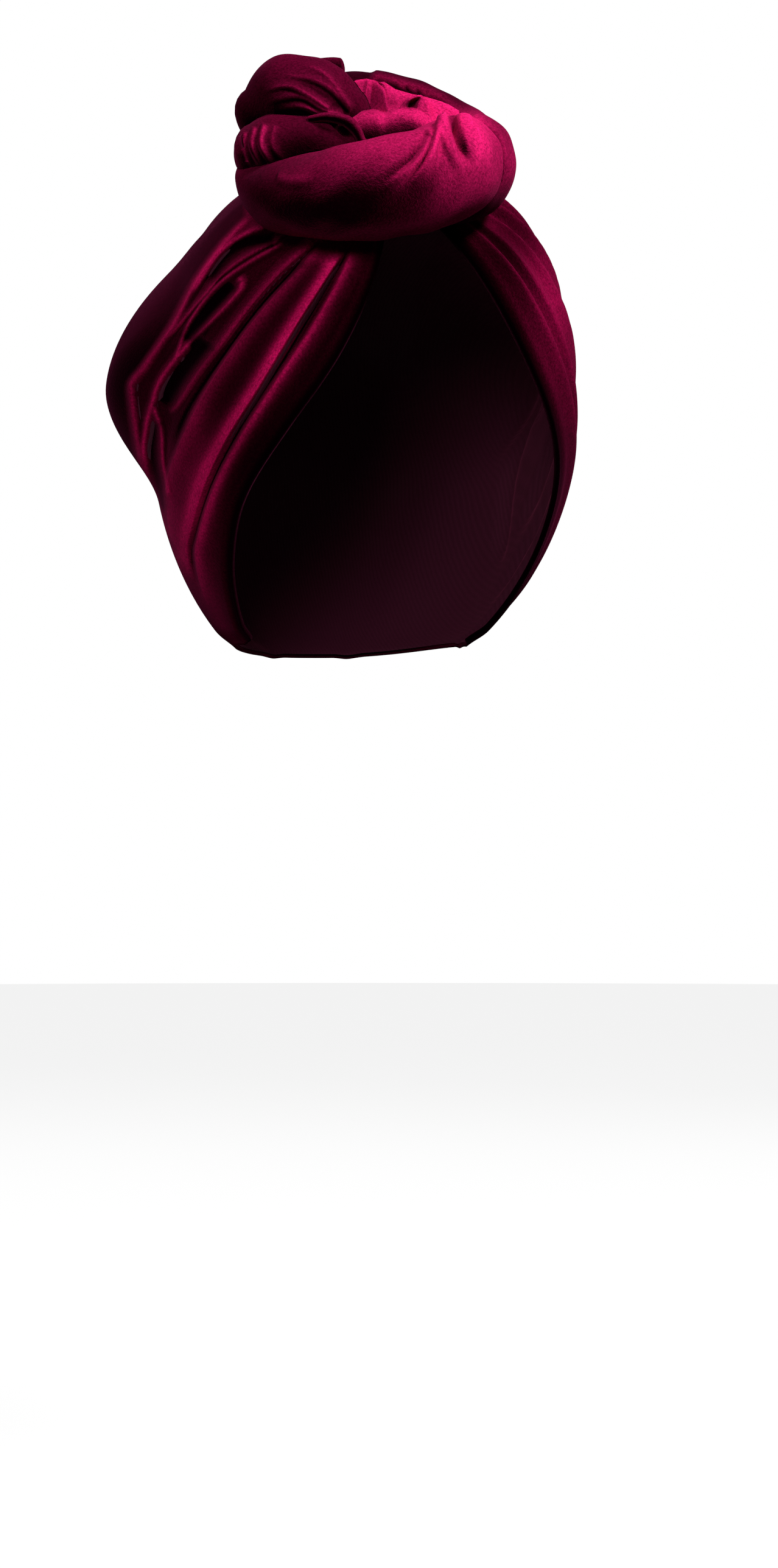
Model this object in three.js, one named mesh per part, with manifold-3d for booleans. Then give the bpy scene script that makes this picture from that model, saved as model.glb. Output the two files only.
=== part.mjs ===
// Turban headwrap: a gathered velvet cap with a wound knot on its top front.
// Millimetres, +Z up, the face at -Y. The origin is the inside of the cap's crown.
import * as THREE from "three";
import Module from "manifold-3d";

const wasm = await Module();
wasm.setup();

// Driving dimensions
const CLOTH_WALL = 2;
const SEAT_GAP = 0.3;
const HEAD_HALF_WIDTH = 73;
const HEAD_FRONT = 90;
const HEAD_BACK = 97;
const HEAD_CROWN = 91;
const HEAD_NAPE = 106;
const HEAD_MIDDLE_Z = CLOTH_WALL - HEAD_CROWN;
const PLAN_ROUNDNESS = 2.15;
const CROWN_ROUNDNESS = 2.4;
const NAPE_ROUNDNESS = 2.0;

// The gathers run from the knot's foot round the crown to the nape, like the lines of longitude of a globe.
const KNOT_POLE = new THREE.Vector3(-8, -48, -8);
const NAPE_POLE = new THREE.Vector3(0, 22, -198);
const GATHER_TOP = 5;
const HEM_BACK = 157;
const HEM_RISE = 10;
const EDGE_TUCK = { width: 0.035, depth: 1.6 };
const HEM_TUCK = { width: 7, depth: 1.5 };
const HEM_CALM = { width: 26, share: 0.75 };

// The slack back of the hood, which stands out behind the pleated sides.
const POUCH = { depth: 18.5, top: 52, fullest: 85, foot: 112, sideStart: 0.4, sideEnd: 0.62 };

// The front edge: its angle round from the back on the wearer's right and left, by the angle down.
const EDGE_ROWS = [
  { down: 5, right: 168, left: 158 },
  { down: 26, right: 161, left: 152 },
  { down: 48, right: 150, left: 144 },
  { down: 70, right: 136, left: 132 },
  { down: 95, right: 122, left: 119 },
  { down: 117, right: 115, left: 113 },
  { down: 140, right: 109, left: 107 },
  { down: 157, right: 101, left: 100 },
];

// The folds: each runs from top to low, at these hundredths of the way from the back (0) to the front edge
// (-100 on the wearer's right, 100 on the left), with its rise and its widths towards the face and the back.
const FOLD_ROWS = [
  { name: "brow", top: 12, low: 175, start: -93, middle: -92.5, end: -87, rise: 3, front: 7, back: 2.2 },
  { name: "temple", top: 12, low: 135, start: -90.5, middle: -88, end: -82, rise: 5, front: 2.2, back: 8 },
  { name: "panel", top: 12, low: 122, start: -85, middle: -77, end: -74, rise: 5, front: 8, back: 2.8 },
  { name: "pocket", top: 12, low: 80, start: -83, middle: -75, end: -67, rise: 4, front: 3, back: 3 },
  { name: "ear", top: 14, low: 66, start: -75, middle: -61, end: -60, rise: 4, front: 5, back: 4 },
  { name: "jaw", top: 58, low: 122, start: -61, middle: -54, end: -76, rise: 4.5, front: 5, back: 5 },
  { name: "nape side", top: 98, low: 175, start: -66, middle: -72, end: -78, rise: 2.5, front: 6, back: 5 },
  { name: "hood", top: 14, low: 104, start: -58, middle: -54, end: -46, rise: 4, front: 4, back: 5 },
  { name: "left brow", top: 12, low: 170, start: 92, middle: 91, end: 88, rise: 3, front: 5, back: 2.5 },
  { name: "left temple", top: 12, low: 140, start: 87, middle: 85, end: 82, rise: 3, front: 3, back: 6 },
  { name: "left panel", top: 12, low: 120, start: 82, middle: 74, end: 72, rise: 3.5, front: 7, back: 3 },
  { name: "left ear", top: 14, low: 90, start: 72, middle: 62, end: 60, rise: 4, front: 4, back: 5 },
  { name: "left jaw", top: 70, low: 128, start: 60, middle: 55, end: 72, rise: 4, front: 5, back: 5 },
  { name: "left hood", top: 14, low: 104, start: 58, middle: 53, end: 46, rise: 4.5, front: 4, back: 6 },
  { name: "crown right", top: 12, low: 66, start: -22, middle: -18, end: -16, rise: 2.5, front: 8, back: 7 },
  { name: "crown middle", top: 12, low: 78, start: 2, middle: 3, end: 2, rise: 3, front: 8, back: 10 },
  { name: "crown left", top: 12, low: 70, start: 30, middle: 27, end: 25, rise: 2.5, front: 8, back: 7 },
  { name: "nape right", top: 104, low: 175, start: -30, middle: -24, end: -22, rise: 3, front: 10, back: 8 },
  { name: "nape left", top: 104, low: 175, start: 30, middle: 24, end: 20, rise: 3, front: 10, back: 8 },
];
const FOLD_FADE = 0.16;

// The hollows between folds on the wearer's right, in the same hundredths: round at top, pointed at low.
const HOLLOW_ROWS = [
  { name: "teardrop", top: 40, low: 64, start: -65.5, end: -60, half: 3.5, depth: 3 },
  { name: "pouch pocket", top: 54, low: 84, start: -66, end: -60, half: 5, depth: 3.5 },
];

// The knot stands square on the brow: its middle, its turn about Z and its lean towards the face.
const KNOT_MIDDLE = new THREE.Vector3(-18.3, -66.7, -1.5);
const KNOT_TURN = THREE.MathUtils.degToRad(20);
const KNOT_LEAN = THREE.MathUtils.degToRad(37.3);

// Sections of the two rolls of the coil: turn round the knot from its right end, reach from its middle, lift
// along its axis, and the roll's half width, its height above its middle line and its depth below it.
const FRONT_ROLL_ROWS = [
  { turn: 176, reach: 32, lift: -4, wide: 12, tall: 6, deep: 16 },
  { turn: 200, reach: 34, lift: -3.5, wide: 16.5, tall: 8, deep: 18 },
  { turn: 232, reach: 33.5, lift: 0.5, wide: 17, tall: 12, deep: 17 },
  { turn: 270, reach: 32.5, lift: 3.5, wide: 17, tall: 17.5, deep: 17.5 },
  { turn: 305, reach: 32.5, lift: 4, wide: 17, tall: 18, deep: 17.5 },
  { turn: 335, reach: 32, lift: 2.5, wide: 16.5, tall: 17.5, deep: 17 },
  { turn: 350, reach: 31, lift: 0.5, wide: 13.5, tall: 14, deep: 14 },
];
const BACK_ROLL_ROWS = [
  { turn: -26, reach: 31, lift: -5, wide: 12, tall: 11, deep: 15 },
  { turn: 0, reach: 34, lift: -5, wide: 16, tall: 15.5, deep: 19 },
  { turn: 30, reach: 34, lift: -6, wide: 15, tall: 13.5, deep: 20 },
  { turn: 60, reach: 34, lift: -5.5, wide: 14.5, tall: 13.5, deep: 20 },
  { turn: 90, reach: 33, lift: -1.5, wide: 14.5, tall: 13.5, deep: 21 },
  { turn: 120, reach: 32, lift: 0, wide: 14, tall: 14, deep: 21 },
  { turn: 150, reach: 31, lift: 0, wide: 13, tall: 13, deep: 18 },
];
const COIL_STEPS = 16;

// Sections of the lobes inside the coil: place in the knot, and sizes as for the rolls.
const TOP_TWIST_ROWS = [
  { x: -39.5, y: 14, z: 5.5, wide: 12, tall: 11.5, deep: 5 },
  { x: -30, y: 14.5, z: 11, wide: 17.5, tall: 17, deep: 7 },
  { x: -20, y: 12, z: 14, wide: 16, tall: 13.5, deep: 9 },
  { x: -10, y: 8, z: 11, wide: 10, tall: 9, deep: 7 },
  { x: -4, y: 5, z: 6, wide: 5, tall: 5, deep: 5 },
];
const LEFT_TWIST_ROWS = [
  { x: -40, y: -4, z: 1, wide: 12, tall: 11, deep: 9 },
  { x: -33, y: -5, z: 4, wide: 15, tall: 12, deep: 9 },
  { x: -22, y: -6, z: 5, wide: 13.5, tall: 11, deep: 9 },
  { x: -10, y: -6, z: 4, wide: 10, tall: 9, deep: 8 },
  { x: -2, y: -5, z: 1.5, wide: 6, tall: 6, deep: 6 },
];
const CENTRE_TUCK_ROWS = [
  { x: -9, y: 3, z: 5, wide: 12, tall: 9, deep: 14 },
  { x: -2, y: 5, z: 9.5, wide: 17, tall: 11, deep: 18 },
  { x: 8, y: 5, z: 8.5, wide: 18, tall: 10.5, deep: 17 },
  { x: 20, y: 3, z: 8, wide: 13, tall: 9, deep: 14 },
  { x: 26, y: 1, z: 8, wide: 8, tall: 5, deep: 10 },
];

// Pleats on a roll: lines from one place to another, each place a share of the roll's length and an angle
// round it (0 outwards, 90 up), with the pleat's rise and half width.
const FRONT_ROLL_PLEATS = [
  { from: 0.95, fromTurn: 128, to: 0.62, toTurn: 52, rise: 2.2, half: 5 },
  { from: 0.95, fromTurn: 120, to: 0.72, toTurn: 40, rise: 2.2, half: 5 },
  { from: 0.96, fromTurn: 112, to: 0.88, toTurn: 42, rise: 2.2, half: 5 },
];
const BACK_ROLL_PLEATS = [
  { from: 0.12, fromTurn: 60, to: 0.75, toTurn: 100, rise: 1.5, half: 5 },
  { from: 0.12, fromTurn: 20, to: 0.8, toTurn: 40, rise: 1.5, half: 6 },
];
const TOP_TWIST_PLEATS = [10, 42, 70, 98, 130].map((turn) => (
  { from: 0.2, fromTurn: turn, to: 1, toTurn: turn, rise: 1.8, half: 4 }
));
const LEFT_TWIST_PLEATS = [0.04, 0.16, 0.28, 0.42].map((share) => (
  { from: share, fromTurn: -50, to: share + 0.05, toTurn: 100, rise: 1.6, half: 3 }
));
const CENTRE_TUCK_PLEATS = [
  { from: 0.05, fromTurn: 150, to: 0.5, toTurn: 40, rise: 2.5, half: 4 },
  { from: 0.3, fromTurn: 160, to: 0.75, toTurn: 50, rise: 2.5, half: 4 },
  { from: 0.5, fromTurn: 150, to: 0.95, toTurn: 60, rise: 2.5, half: 4 },
];

// Numbers of faces
const CAP_COLUMNS = 76;
const CAP_ROWS = 18;
const FACE_COLUMNS = 8;

const VELVET = { color: 0x5a0a26, roughness: 0.85, metalness: 0 };

// Smooth value of one column of a table whose rows are in the order of another column.
function readTable(rows, by, column, at) {
  const last = rows.length - 1;
  if (at <= rows[0][by]) {
    return rows[0][column];
  }
  if (at >= rows[last][by]) {
    return rows[last][column];
  }
  const i = rows.findIndex((row) => row[by] >= at) - 1;
  const slope = (k) => {
    const before = rows[Math.max(k - 1, 0)];
    const after = rows[Math.min(k + 1, last)];
    return (after[column] - before[column]) / (after[by] - before[by]);
  };
  const span = rows[i + 1][by] - rows[i][by];
  const t = (at - rows[i][by]) / span;
  const rest = 1 - t;
  return (1 + 2 * t) * rest * rest * rows[i][column] + t * rest * rest * span * slope(i)
    + t * t * (3 - 2 * t) * rows[i + 1][column] - t * t * rest * span * slope(i + 1);
}

const hump = (offset) => (Math.abs(offset) < 1 ? Math.cos((offset * Math.PI) / 2) ** 2 : 0);
const smooth = THREE.MathUtils.smoothstep;

// The cap

const gatherMiddle = KNOT_POLE.clone().add(NAPE_POLE).multiplyScalar(0.5);
const gatherAxis = KNOT_POLE.clone().sub(NAPE_POLE).normalize();
const gatherSide = new THREE.Vector3(0, 1, 0).cross(gatherAxis).normalize();
const gatherBack = gatherAxis.clone().cross(gatherSide);

// How far out of the cap's plain inner form a place lies: below 1 is inside it.
function headLevel(place) {
  const x = Math.abs(place.x) / HEAD_HALF_WIDTH;
  const y = place.y < 0 ? -place.y / HEAD_FRONT : place.y / HEAD_BACK;
  const high = place.z - HEAD_MIDDLE_Z;
  const z = high > 0 ? high / HEAD_CROWN : -high / HEAD_NAPE;
  const plan = (x ** PLAN_ROUNDNESS + y ** PLAN_ROUNDNESS) ** (1 / PLAN_ROUNDNESS);
  const roundness = high > 0 ? CROWN_ROUNDNESS : NAPE_ROUNDNESS;
  return (plan ** roundness + z ** roundness) ** (1 / roundness);
}

function headReach(direction) {
  let inside = 0;
  let outside = 2 * HEAD_NAPE;
  for (let step = 0; step < 40; step += 1) {
    const reach = (inside + outside) / 2;
    if (headLevel(gatherMiddle.clone().addScaledVector(direction, reach)) < 1) {
      inside = reach;
    } else {
      outside = reach;
    }
  }
  return inside;
}

// Direction from the cap's middle: round is degrees from the back, down is degrees from the knot.
function gatherDirection(round, down) {
  const a = THREE.MathUtils.degToRad(round);
  const b = THREE.MathUtils.degToRad(down);
  return gatherAxis.clone().multiplyScalar(Math.cos(b))
    .addScaledVector(gatherBack, Math.sin(b) * Math.cos(a))
    .addScaledVector(gatherSide, Math.sin(b) * Math.sin(a));
}

const edgeRound = (side, down) => readTable(EDGE_ROWS, "down", side < 0 ? "right" : "left", down);

function foldRise(fold, across, down) {
  const t = (down - fold.top) / (fold.low - fold.top);
  if (t <= 0 || t >= 1) {
    return 0;
  }
  const ends = fold.start * (1 - t) * (1 - 2 * t) + fold.end * t * (2 * t - 1);
  const crest = ends + 4 * fold.middle * t * (1 - t);
  const towardsFace = (100 * across - crest) * Math.sign(fold.middle);
  const width = towardsFace > 0 ? fold.front : fold.back;
  return fold.rise * hump(towardsFace / width) * smooth(t, 0, FOLD_FADE) * smooth(1 - t, 0, FOLD_FADE);
}

function hollowDepth(hollow, across, down) {
  const t = (down - hollow.top) / (hollow.low - hollow.top);
  if (t <= 0 || t >= 1) {
    return 0;
  }
  const middle = THREE.MathUtils.lerp(hollow.start, hollow.end, t);
  const half = hollow.half * Math.sqrt(smooth(t, 0, 0.3)) * (1 - t) ** 0.6;
  return hollow.depth * hump((100 * across - middle) / half) * smooth(t, 0, 0.3) * smooth(1 - t, 0, 0.4);
}

function pouchDepth(across, down) {
  const swell = smooth(down, POUCH.top, POUCH.fullest) * (1 - smooth(down, POUCH.fullest, POUCH.foot));
  return POUCH.depth * swell * (1 - smooth(Math.abs(across), POUCH.sideStart, POUCH.sideEnd));
}

const hemDown = (across) => HEM_BACK - HEM_RISE * across * across;

// How far the cloth stands off the plain inner form.
function clothRelief(across, down) {
  let relief = pouchDepth(across, down);
  const hem = hemDown(across);
  const foldShare = 1 - HEM_CALM.share * smooth(down, hem - HEM_CALM.width, hem);
  FOLD_ROWS.forEach((fold) => {
    relief += foldShare * foldRise(fold, across, down);
  });
  HOLLOW_ROWS.forEach((hollow) => {
    relief -= hollowDepth(hollow, across, down);
  });
  relief -= EDGE_TUCK.depth * smooth(Math.abs(across), 1 - EDGE_TUCK.width, 1);
  return relief - HEM_TUCK.depth * smooth(down, hem - HEM_TUCK.width, hem);
}

// Columns stand closest at the front edges, where the folds are narrow.
const columnAcross = (share) => 1.35 * share - 0.35 * share ** 3;

function capPoint(across, share, lift) {
  const down = THREE.MathUtils.lerp(GATHER_TOP, hemDown(across), share);
  const round = across * edgeRound(across, down);
  const direction = gatherDirection(round, down);
  const reach = headReach(direction) + clothRelief(across, down) + lift;
  return gatherMiddle.clone().addScaledVector(direction, reach);
}

// Faces of a grid of points, row by row; a wrapped grid joins its last column to its first.
function gridFaces(columns, rows, wrapped, first, turned) {
  const faces = [];
  const around = wrapped ? columns : columns - 1;
  for (let j = 0; j < rows - 1; j += 1) {
    for (let i = 0; i < around; i += 1) {
      const a = first + j * columns + i;
      const b = first + j * columns + ((i + 1) % columns);
      const quad = [a, b, b + columns, a, b + columns, a + columns];
      faces.push(...(turned ? quad.reverse() : quad));
    }
  }
  return faces;
}

function meshSolid(points, faces) {
  const vertProperties = new Float32Array(points.flatMap((point) => point.toArray()));
  return new wasm.Manifold(new wasm.Mesh({ numProp: 3, vertProperties, triVerts: new Uint32Array(faces) }));
}

function capShares() {
  const columns = Array.from({ length: CAP_COLUMNS + 1 }, (_, i) => columnAcross((2 * i) / CAP_COLUMNS - 1));
  const rows = Array.from({ length: CAP_ROWS + 1 }, (_, j) => j / CAP_ROWS);
  return { columns, rows };
}

// One cloth wall: an outer and an inner grid, joined round the front edge, the hem and the gather.
function capSolid() {
  const { columns, rows } = capShares();
  const outer = rows.flatMap((share) => columns.map((across) => capPoint(across, share, 0)));
  const inner = rows.flatMap((share) => columns.map((across) => capPoint(across, share, -CLOTH_WALL)));
  const faces = [
    ...gridFaces(columns.length, rows.length, false, 0, false),
    ...gridFaces(columns.length, rows.length, false, outer.length, true),
  ];
  const bottom = (rows.length - 1) * columns.length;
  const border = [];
  for (let i = 0; i < columns.length - 1; i += 1) {
    border.push(i);
  }
  for (let j = 0; j < rows.length - 1; j += 1) {
    border.push(j * columns.length + columns.length - 1);
  }
  for (let i = columns.length - 1; i > 0; i -= 1) {
    border.push(bottom + i);
  }
  for (let j = rows.length - 1; j > 0; j -= 1) {
    border.push(j * columns.length);
  }
  border.forEach((a, k) => {
    const b = border[(k + 1) % border.length];
    faces.push(b, a, b + outer.length, b + outer.length, a, a + outer.length);
  });
  return meshSolid([...outer, ...inner], faces);
}

// The form under the knot, grown by the seat gap: the cap's outside, closed across the face and at the poles.
function capSeat() {
  const { columns, rows } = capShares();
  const points = [];
  rows.forEach((share) => {
    columns.forEach((across) => points.push(capPoint(across, share, SEAT_GAP)));
    const down = THREE.MathUtils.lerp(GATHER_TOP, hemDown(1), share);
    const start = edgeRound(1, down);
    const end = 360 - edgeRound(-1, down);
    for (let k = 1; k < FACE_COLUMNS; k += 1) {
      const direction = gatherDirection(THREE.MathUtils.lerp(start, end, k / FACE_COLUMNS), down);
      points.push(gatherMiddle.clone().addScaledVector(direction, headReach(direction) - EDGE_TUCK.depth));
    }
  });
  const around = columns.length + FACE_COLUMNS - 1;
  const faces = gridFaces(around, rows.length, true, 0, false);
  const top = points.push(gatherMiddle.clone().addScaledVector(gatherAxis, headReach(gatherAxis))) - 1;
  const low = points.push(gatherMiddle.clone().addScaledVector(gatherAxis, -HEAD_NAPE)) - 1;
  const lastRow = (rows.length - 1) * around;
  for (let i = 0; i < around; i += 1) {
    const next = (i + 1) % around;
    faces.push(top, next, i);
    faces.push(low, lastRow + i, lastRow + next);
  }
  return meshSolid(points, faces);
}

// The knot

const knotRight = new THREE.Vector3(Math.cos(KNOT_TURN), -Math.sin(KNOT_TURN), 0);
const knotAxis = new THREE.Vector3(-Math.sin(KNOT_TURN), -Math.cos(KNOT_TURN), 0)
  .multiplyScalar(Math.sin(KNOT_LEAN)).setZ(Math.cos(KNOT_LEAN));
const knotBack = knotAxis.clone().cross(knotRight);

function knotPlace(local) {
  return KNOT_MIDDLE.clone().addScaledVector(knotRight, local.x)
    .addScaledVector(knotBack, local.y).addScaledVector(knotAxis, local.z);
}

// Evenly turned sections of a roll of the coil, worked out from its table.
function coilSections(rows) {
  const first = rows[0].turn;
  const last = rows[rows.length - 1].turn;
  return Array.from({ length: COIL_STEPS + 1 }, (_, step) => {
    const turn = THREE.MathUtils.lerp(first, last, step / COIL_STEPS);
    const read = (column) => readTable(rows, "turn", column, turn);
    const angle = THREE.MathUtils.degToRad(turn);
    const reach = read("reach");
    const sizes = { wide: read("wide"), tall: read("tall"), deep: read("deep") };
    return { x: reach * Math.cos(angle), y: reach * Math.sin(angle), z: read("lift"), ...sizes };
  });
}

// Distance from a place on a roll to a pleat's line, and how far along that line it is.
function pleatRise(pleat, share, turn, length, girth) {
  const lineX = (pleat.to - pleat.from) * length;
  const lineY = ((pleat.toTurn - pleat.fromTurn) / 360) * girth;
  const x = (share - pleat.from) * length;
  const y = (((((turn - pleat.fromTurn + 180) % 360) + 360) % 360) / 360 - 0.5) * girth;
  const along = THREE.MathUtils.clamp((x * lineX + y * lineY) / (lineX ** 2 + lineY ** 2), 0, 1);
  const away = Math.hypot(x - along * lineX, y - along * lineY);
  return pleat.rise * hump(away / pleat.half) * smooth(1 - along, 0, 0.35);
}

// A wound roll: rings of points along a smooth line through the sections, with a rounded tip at each end.
function rollSolid(rows, pleats, steps, sides, grow) {
  const line = new THREE.CatmullRomCurve3(rows.map((row) => new THREE.Vector3(row.x, row.y, row.z)));
  const sectionSize = (row) => new THREE.Vector3(row.wide, row.tall, row.deep);
  const sizes = new THREE.CatmullRomCurve3(rows.map(sectionSize));
  const length = line.getLength();
  const points = [];
  const addRing = (share, forward, shrink) => {
    const middle = line.getPoint(share);
    const along = line.getTangent(share);
    const across = along.clone().cross(new THREE.Vector3(0, 0, 1)).normalize();
    const up = across.clone().cross(along);
    const size = sizes.getPoint(share);
    const girth = Math.PI * (size.x + (size.y + size.z) / 2);
    middle.addScaledVector(along, forward);
    for (let k = 0; k < sides; k += 1) {
      const turn = (360 * k) / sides;
      const angle = THREE.MathUtils.degToRad(turn);
      let rise = grow;
      pleats.forEach((pleat) => {
        rise += pleatRise(pleat, share, turn, length, girth);
      });
      const wide = (size.x + rise) * shrink * Math.cos(angle);
      const tall = ((turn < 180 ? size.y : size.z) + rise) * shrink * Math.sin(angle);
      points.push(knotPlace(middle.clone().addScaledVector(across, wide).addScaledVector(up, tall)));
    }
  };
  const tipTurns = [75, 45].map(THREE.MathUtils.degToRad);
  const tipLength = (row) => 0.75 * Math.min(row.wide, row.tall) + grow;
  const startTip = tipLength(rows[0]);
  const endTip = tipLength(rows[rows.length - 1]);
  tipTurns.forEach((turn) => addRing(0, -startTip * Math.sin(turn), Math.cos(turn)));
  for (let step = 0; step <= steps; step += 1) {
    addRing(step / steps, 0, 1);
  }
  tipTurns.reverse().forEach((turn) => addRing(1, endTip * Math.sin(turn), Math.cos(turn)));
  const rings = steps + 1 + 2 * tipTurns.length;
  const faces = gridFaces(sides, rings, true, 0, true);
  const startMiddle = line.getPoint(0).addScaledVector(line.getTangent(0), -startTip);
  const endMiddle = line.getPoint(1).addScaledVector(line.getTangent(1), endTip);
  const first = points.push(knotPlace(startMiddle)) - 1;
  const last = points.push(knotPlace(endMiddle)) - 1;
  const lastRing = (rings - 1) * sides;
  for (let k = 0; k < sides; k += 1) {
    const next = (k + 1) % sides;
    faces.push(first, k, next);
    faces.push(last, lastRing + next, lastRing + k);
  }
  return meshSolid(points, faces);
}

// The rolls in the order they lie, the outermost first: each is cut clear of the cap and of those over it.
const frontRoll = coilSections(FRONT_ROLL_ROWS);
const backRoll = coilSections(BACK_ROLL_ROWS);
const KNOT_PIECES = [
  { name: "knot_front_roll", rows: frontRoll, pleats: FRONT_ROLL_PLEATS, steps: 28, sides: 18 },
  { name: "knot_top_twist", rows: TOP_TWIST_ROWS, pleats: TOP_TWIST_PLEATS, steps: 15, sides: 20 },
  { name: "knot_back_roll", rows: backRoll, pleats: BACK_ROLL_PLEATS, steps: 16, sides: 14 },
  { name: "knot_left_twist", rows: LEFT_TWIST_ROWS, pleats: LEFT_TWIST_PLEATS, steps: 15, sides: 12 },
  { name: "knot_centre_tuck", rows: CENTRE_TUCK_ROWS, pleats: CENTRE_TUCK_PLEATS, steps: 12, sides: 14 },
];

const largestBody = (solid) => solid.decompose().sort((a, b) => b.volume() - a.volume())[0];

function namedMesh(name, solid) {
  const mesh = solid.getMesh();
  const geometry = new THREE.BufferGeometry();
  geometry.setAttribute("position", new THREE.BufferAttribute(mesh.vertProperties, 3));
  geometry.setIndex(new THREE.BufferAttribute(mesh.triVerts, 1));
  const named = new THREE.Mesh(geometry, new THREE.MeshStandardMaterial(VELVET));
  named.name = name;
  return named;
}

const group = new THREE.Group();
group.add(namedMesh("cap", capSolid()));

let covered = capSeat();
KNOT_PIECES.forEach((piece) => {
  const solid = rollSolid(piece.rows, piece.pleats, piece.steps, piece.sides, 0);
  group.add(namedMesh(piece.name, largestBody(solid.subtract(covered))));
  covered = covered.add(rollSolid(piece.rows, piece.pleats, piece.steps, piece.sides, SEAT_GAP));
});

export default group;
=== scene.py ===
"""Turban headwrap in burgundy stretch velvet: a gathered cap and a wound knot, dressed over the solids.

Sizes in the tables are millimetres in the part's own frame (+Z up, the face at -Y); the meshes are in metres.
"""
import math

import bpy
import numpy as np
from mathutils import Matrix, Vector


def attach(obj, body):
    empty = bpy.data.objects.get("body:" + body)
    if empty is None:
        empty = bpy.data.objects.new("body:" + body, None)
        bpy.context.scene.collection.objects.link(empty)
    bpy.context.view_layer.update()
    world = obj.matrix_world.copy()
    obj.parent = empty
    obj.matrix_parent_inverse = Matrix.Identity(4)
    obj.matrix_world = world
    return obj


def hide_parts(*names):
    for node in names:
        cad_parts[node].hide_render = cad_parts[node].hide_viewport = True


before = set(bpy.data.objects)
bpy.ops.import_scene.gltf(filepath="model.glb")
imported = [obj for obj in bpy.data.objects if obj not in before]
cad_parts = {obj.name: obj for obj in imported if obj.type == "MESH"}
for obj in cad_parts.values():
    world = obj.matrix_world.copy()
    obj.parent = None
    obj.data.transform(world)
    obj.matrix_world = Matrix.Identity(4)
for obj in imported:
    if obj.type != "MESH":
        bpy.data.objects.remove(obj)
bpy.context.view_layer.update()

MM = 0.001
CLOTH_WALL = 2.0
SEAT_GAP = 0.3

# The cap's plain inner form, which its cloth is stretched over.
HEAD_HALF_WIDTH = 73.0
HEAD_FRONT = 90.0
HEAD_BACK = 97.0
HEAD_CROWN = 91.0
HEAD_NAPE = 106.0
HEAD_MIDDLE_Z = CLOTH_WALL - HEAD_CROWN
PLAN_ROUNDNESS = 2.15
CROWN_ROUNDNESS = 2.4
NAPE_ROUNDNESS = 2.0

# The gathers run from the knot's foot round the crown to the nape.
KNOT_POLE = np.array([-8.0, -48.0, -8.0])
NAPE_POLE = np.array([0.0, 22.0, -198.0])
GATHER_TOP = 5.0
REACH_HALVINGS = 34
HEM_BACK = 157.0
HEM_RISE = 10.0
EDGE_TUCK = {"width": 0.035, "depth": 1.6}
HEM_TUCK = {"width": 7.0, "depth": 1.5}
HEM_CALM = {"width": 26.0, "share": 0.75}
POUCH = {"depth": 18.5, "top": 52.0, "fullest": 85.0, "foot": 112.0, "side_start": 0.4, "side_end": 0.62}

EDGE_COLUMNS = ("down", "right", "left")
EDGE_ROWS = [
    (5, 168, 158), (26, 161, 152), (48, 150, 144), (70, 136, 132),
    (95, 122, 119), (117, 115, 113), (140, 109, 107), (157, 101, 100),
]

# Folds of the cap: from top to low (degrees down from the knot) at hundredths of the way from the back to the
# front edge (minus on the wearer's right), with the rise and the widths towards the face and the back.
FOLD_COLUMNS = ("name", "top", "low", "start", "middle", "end", "rise", "front", "back")
FOLD_ROWS = [
    ("left brow", 12, 170, 92, 91, 88, 3.0, 5.0, 2.5),
    ("left temple", 12, 140, 87, 85, 82, 3.0, 3.0, 6.0),
    ("left panel", 12, 120, 82, 74, 72, 3.5, 7.0, 3.0),
    ("left ear", 14, 90, 72, 62, 60, 4.0, 4.0, 5.0),
    ("left jaw", 70, 128, 60, 55, 72, 4.0, 5.0, 5.0),
    ("left hood", 14, 104, 58, 53, 46, 4.5, 4.0, 6.0),
    ("crown right", 12, 66, -22, -18, -16, 2.5, 8.0, 7.0),
    ("crown middle", 12, 78, 2, 3, 2, 3.0, 8.0, 10.0),
    ("crown left", 12, 70, 30, 27, 25, 2.5, 8.0, 7.0),
    ("nape right", 104, 175, -30, -24, -22, 3.0, 10.0, 8.0),
    ("nape left", 104, 175, 30, 24, 20, 3.0, 10.0, 8.0),
]
FOLD_FADE = 0.16

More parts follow.
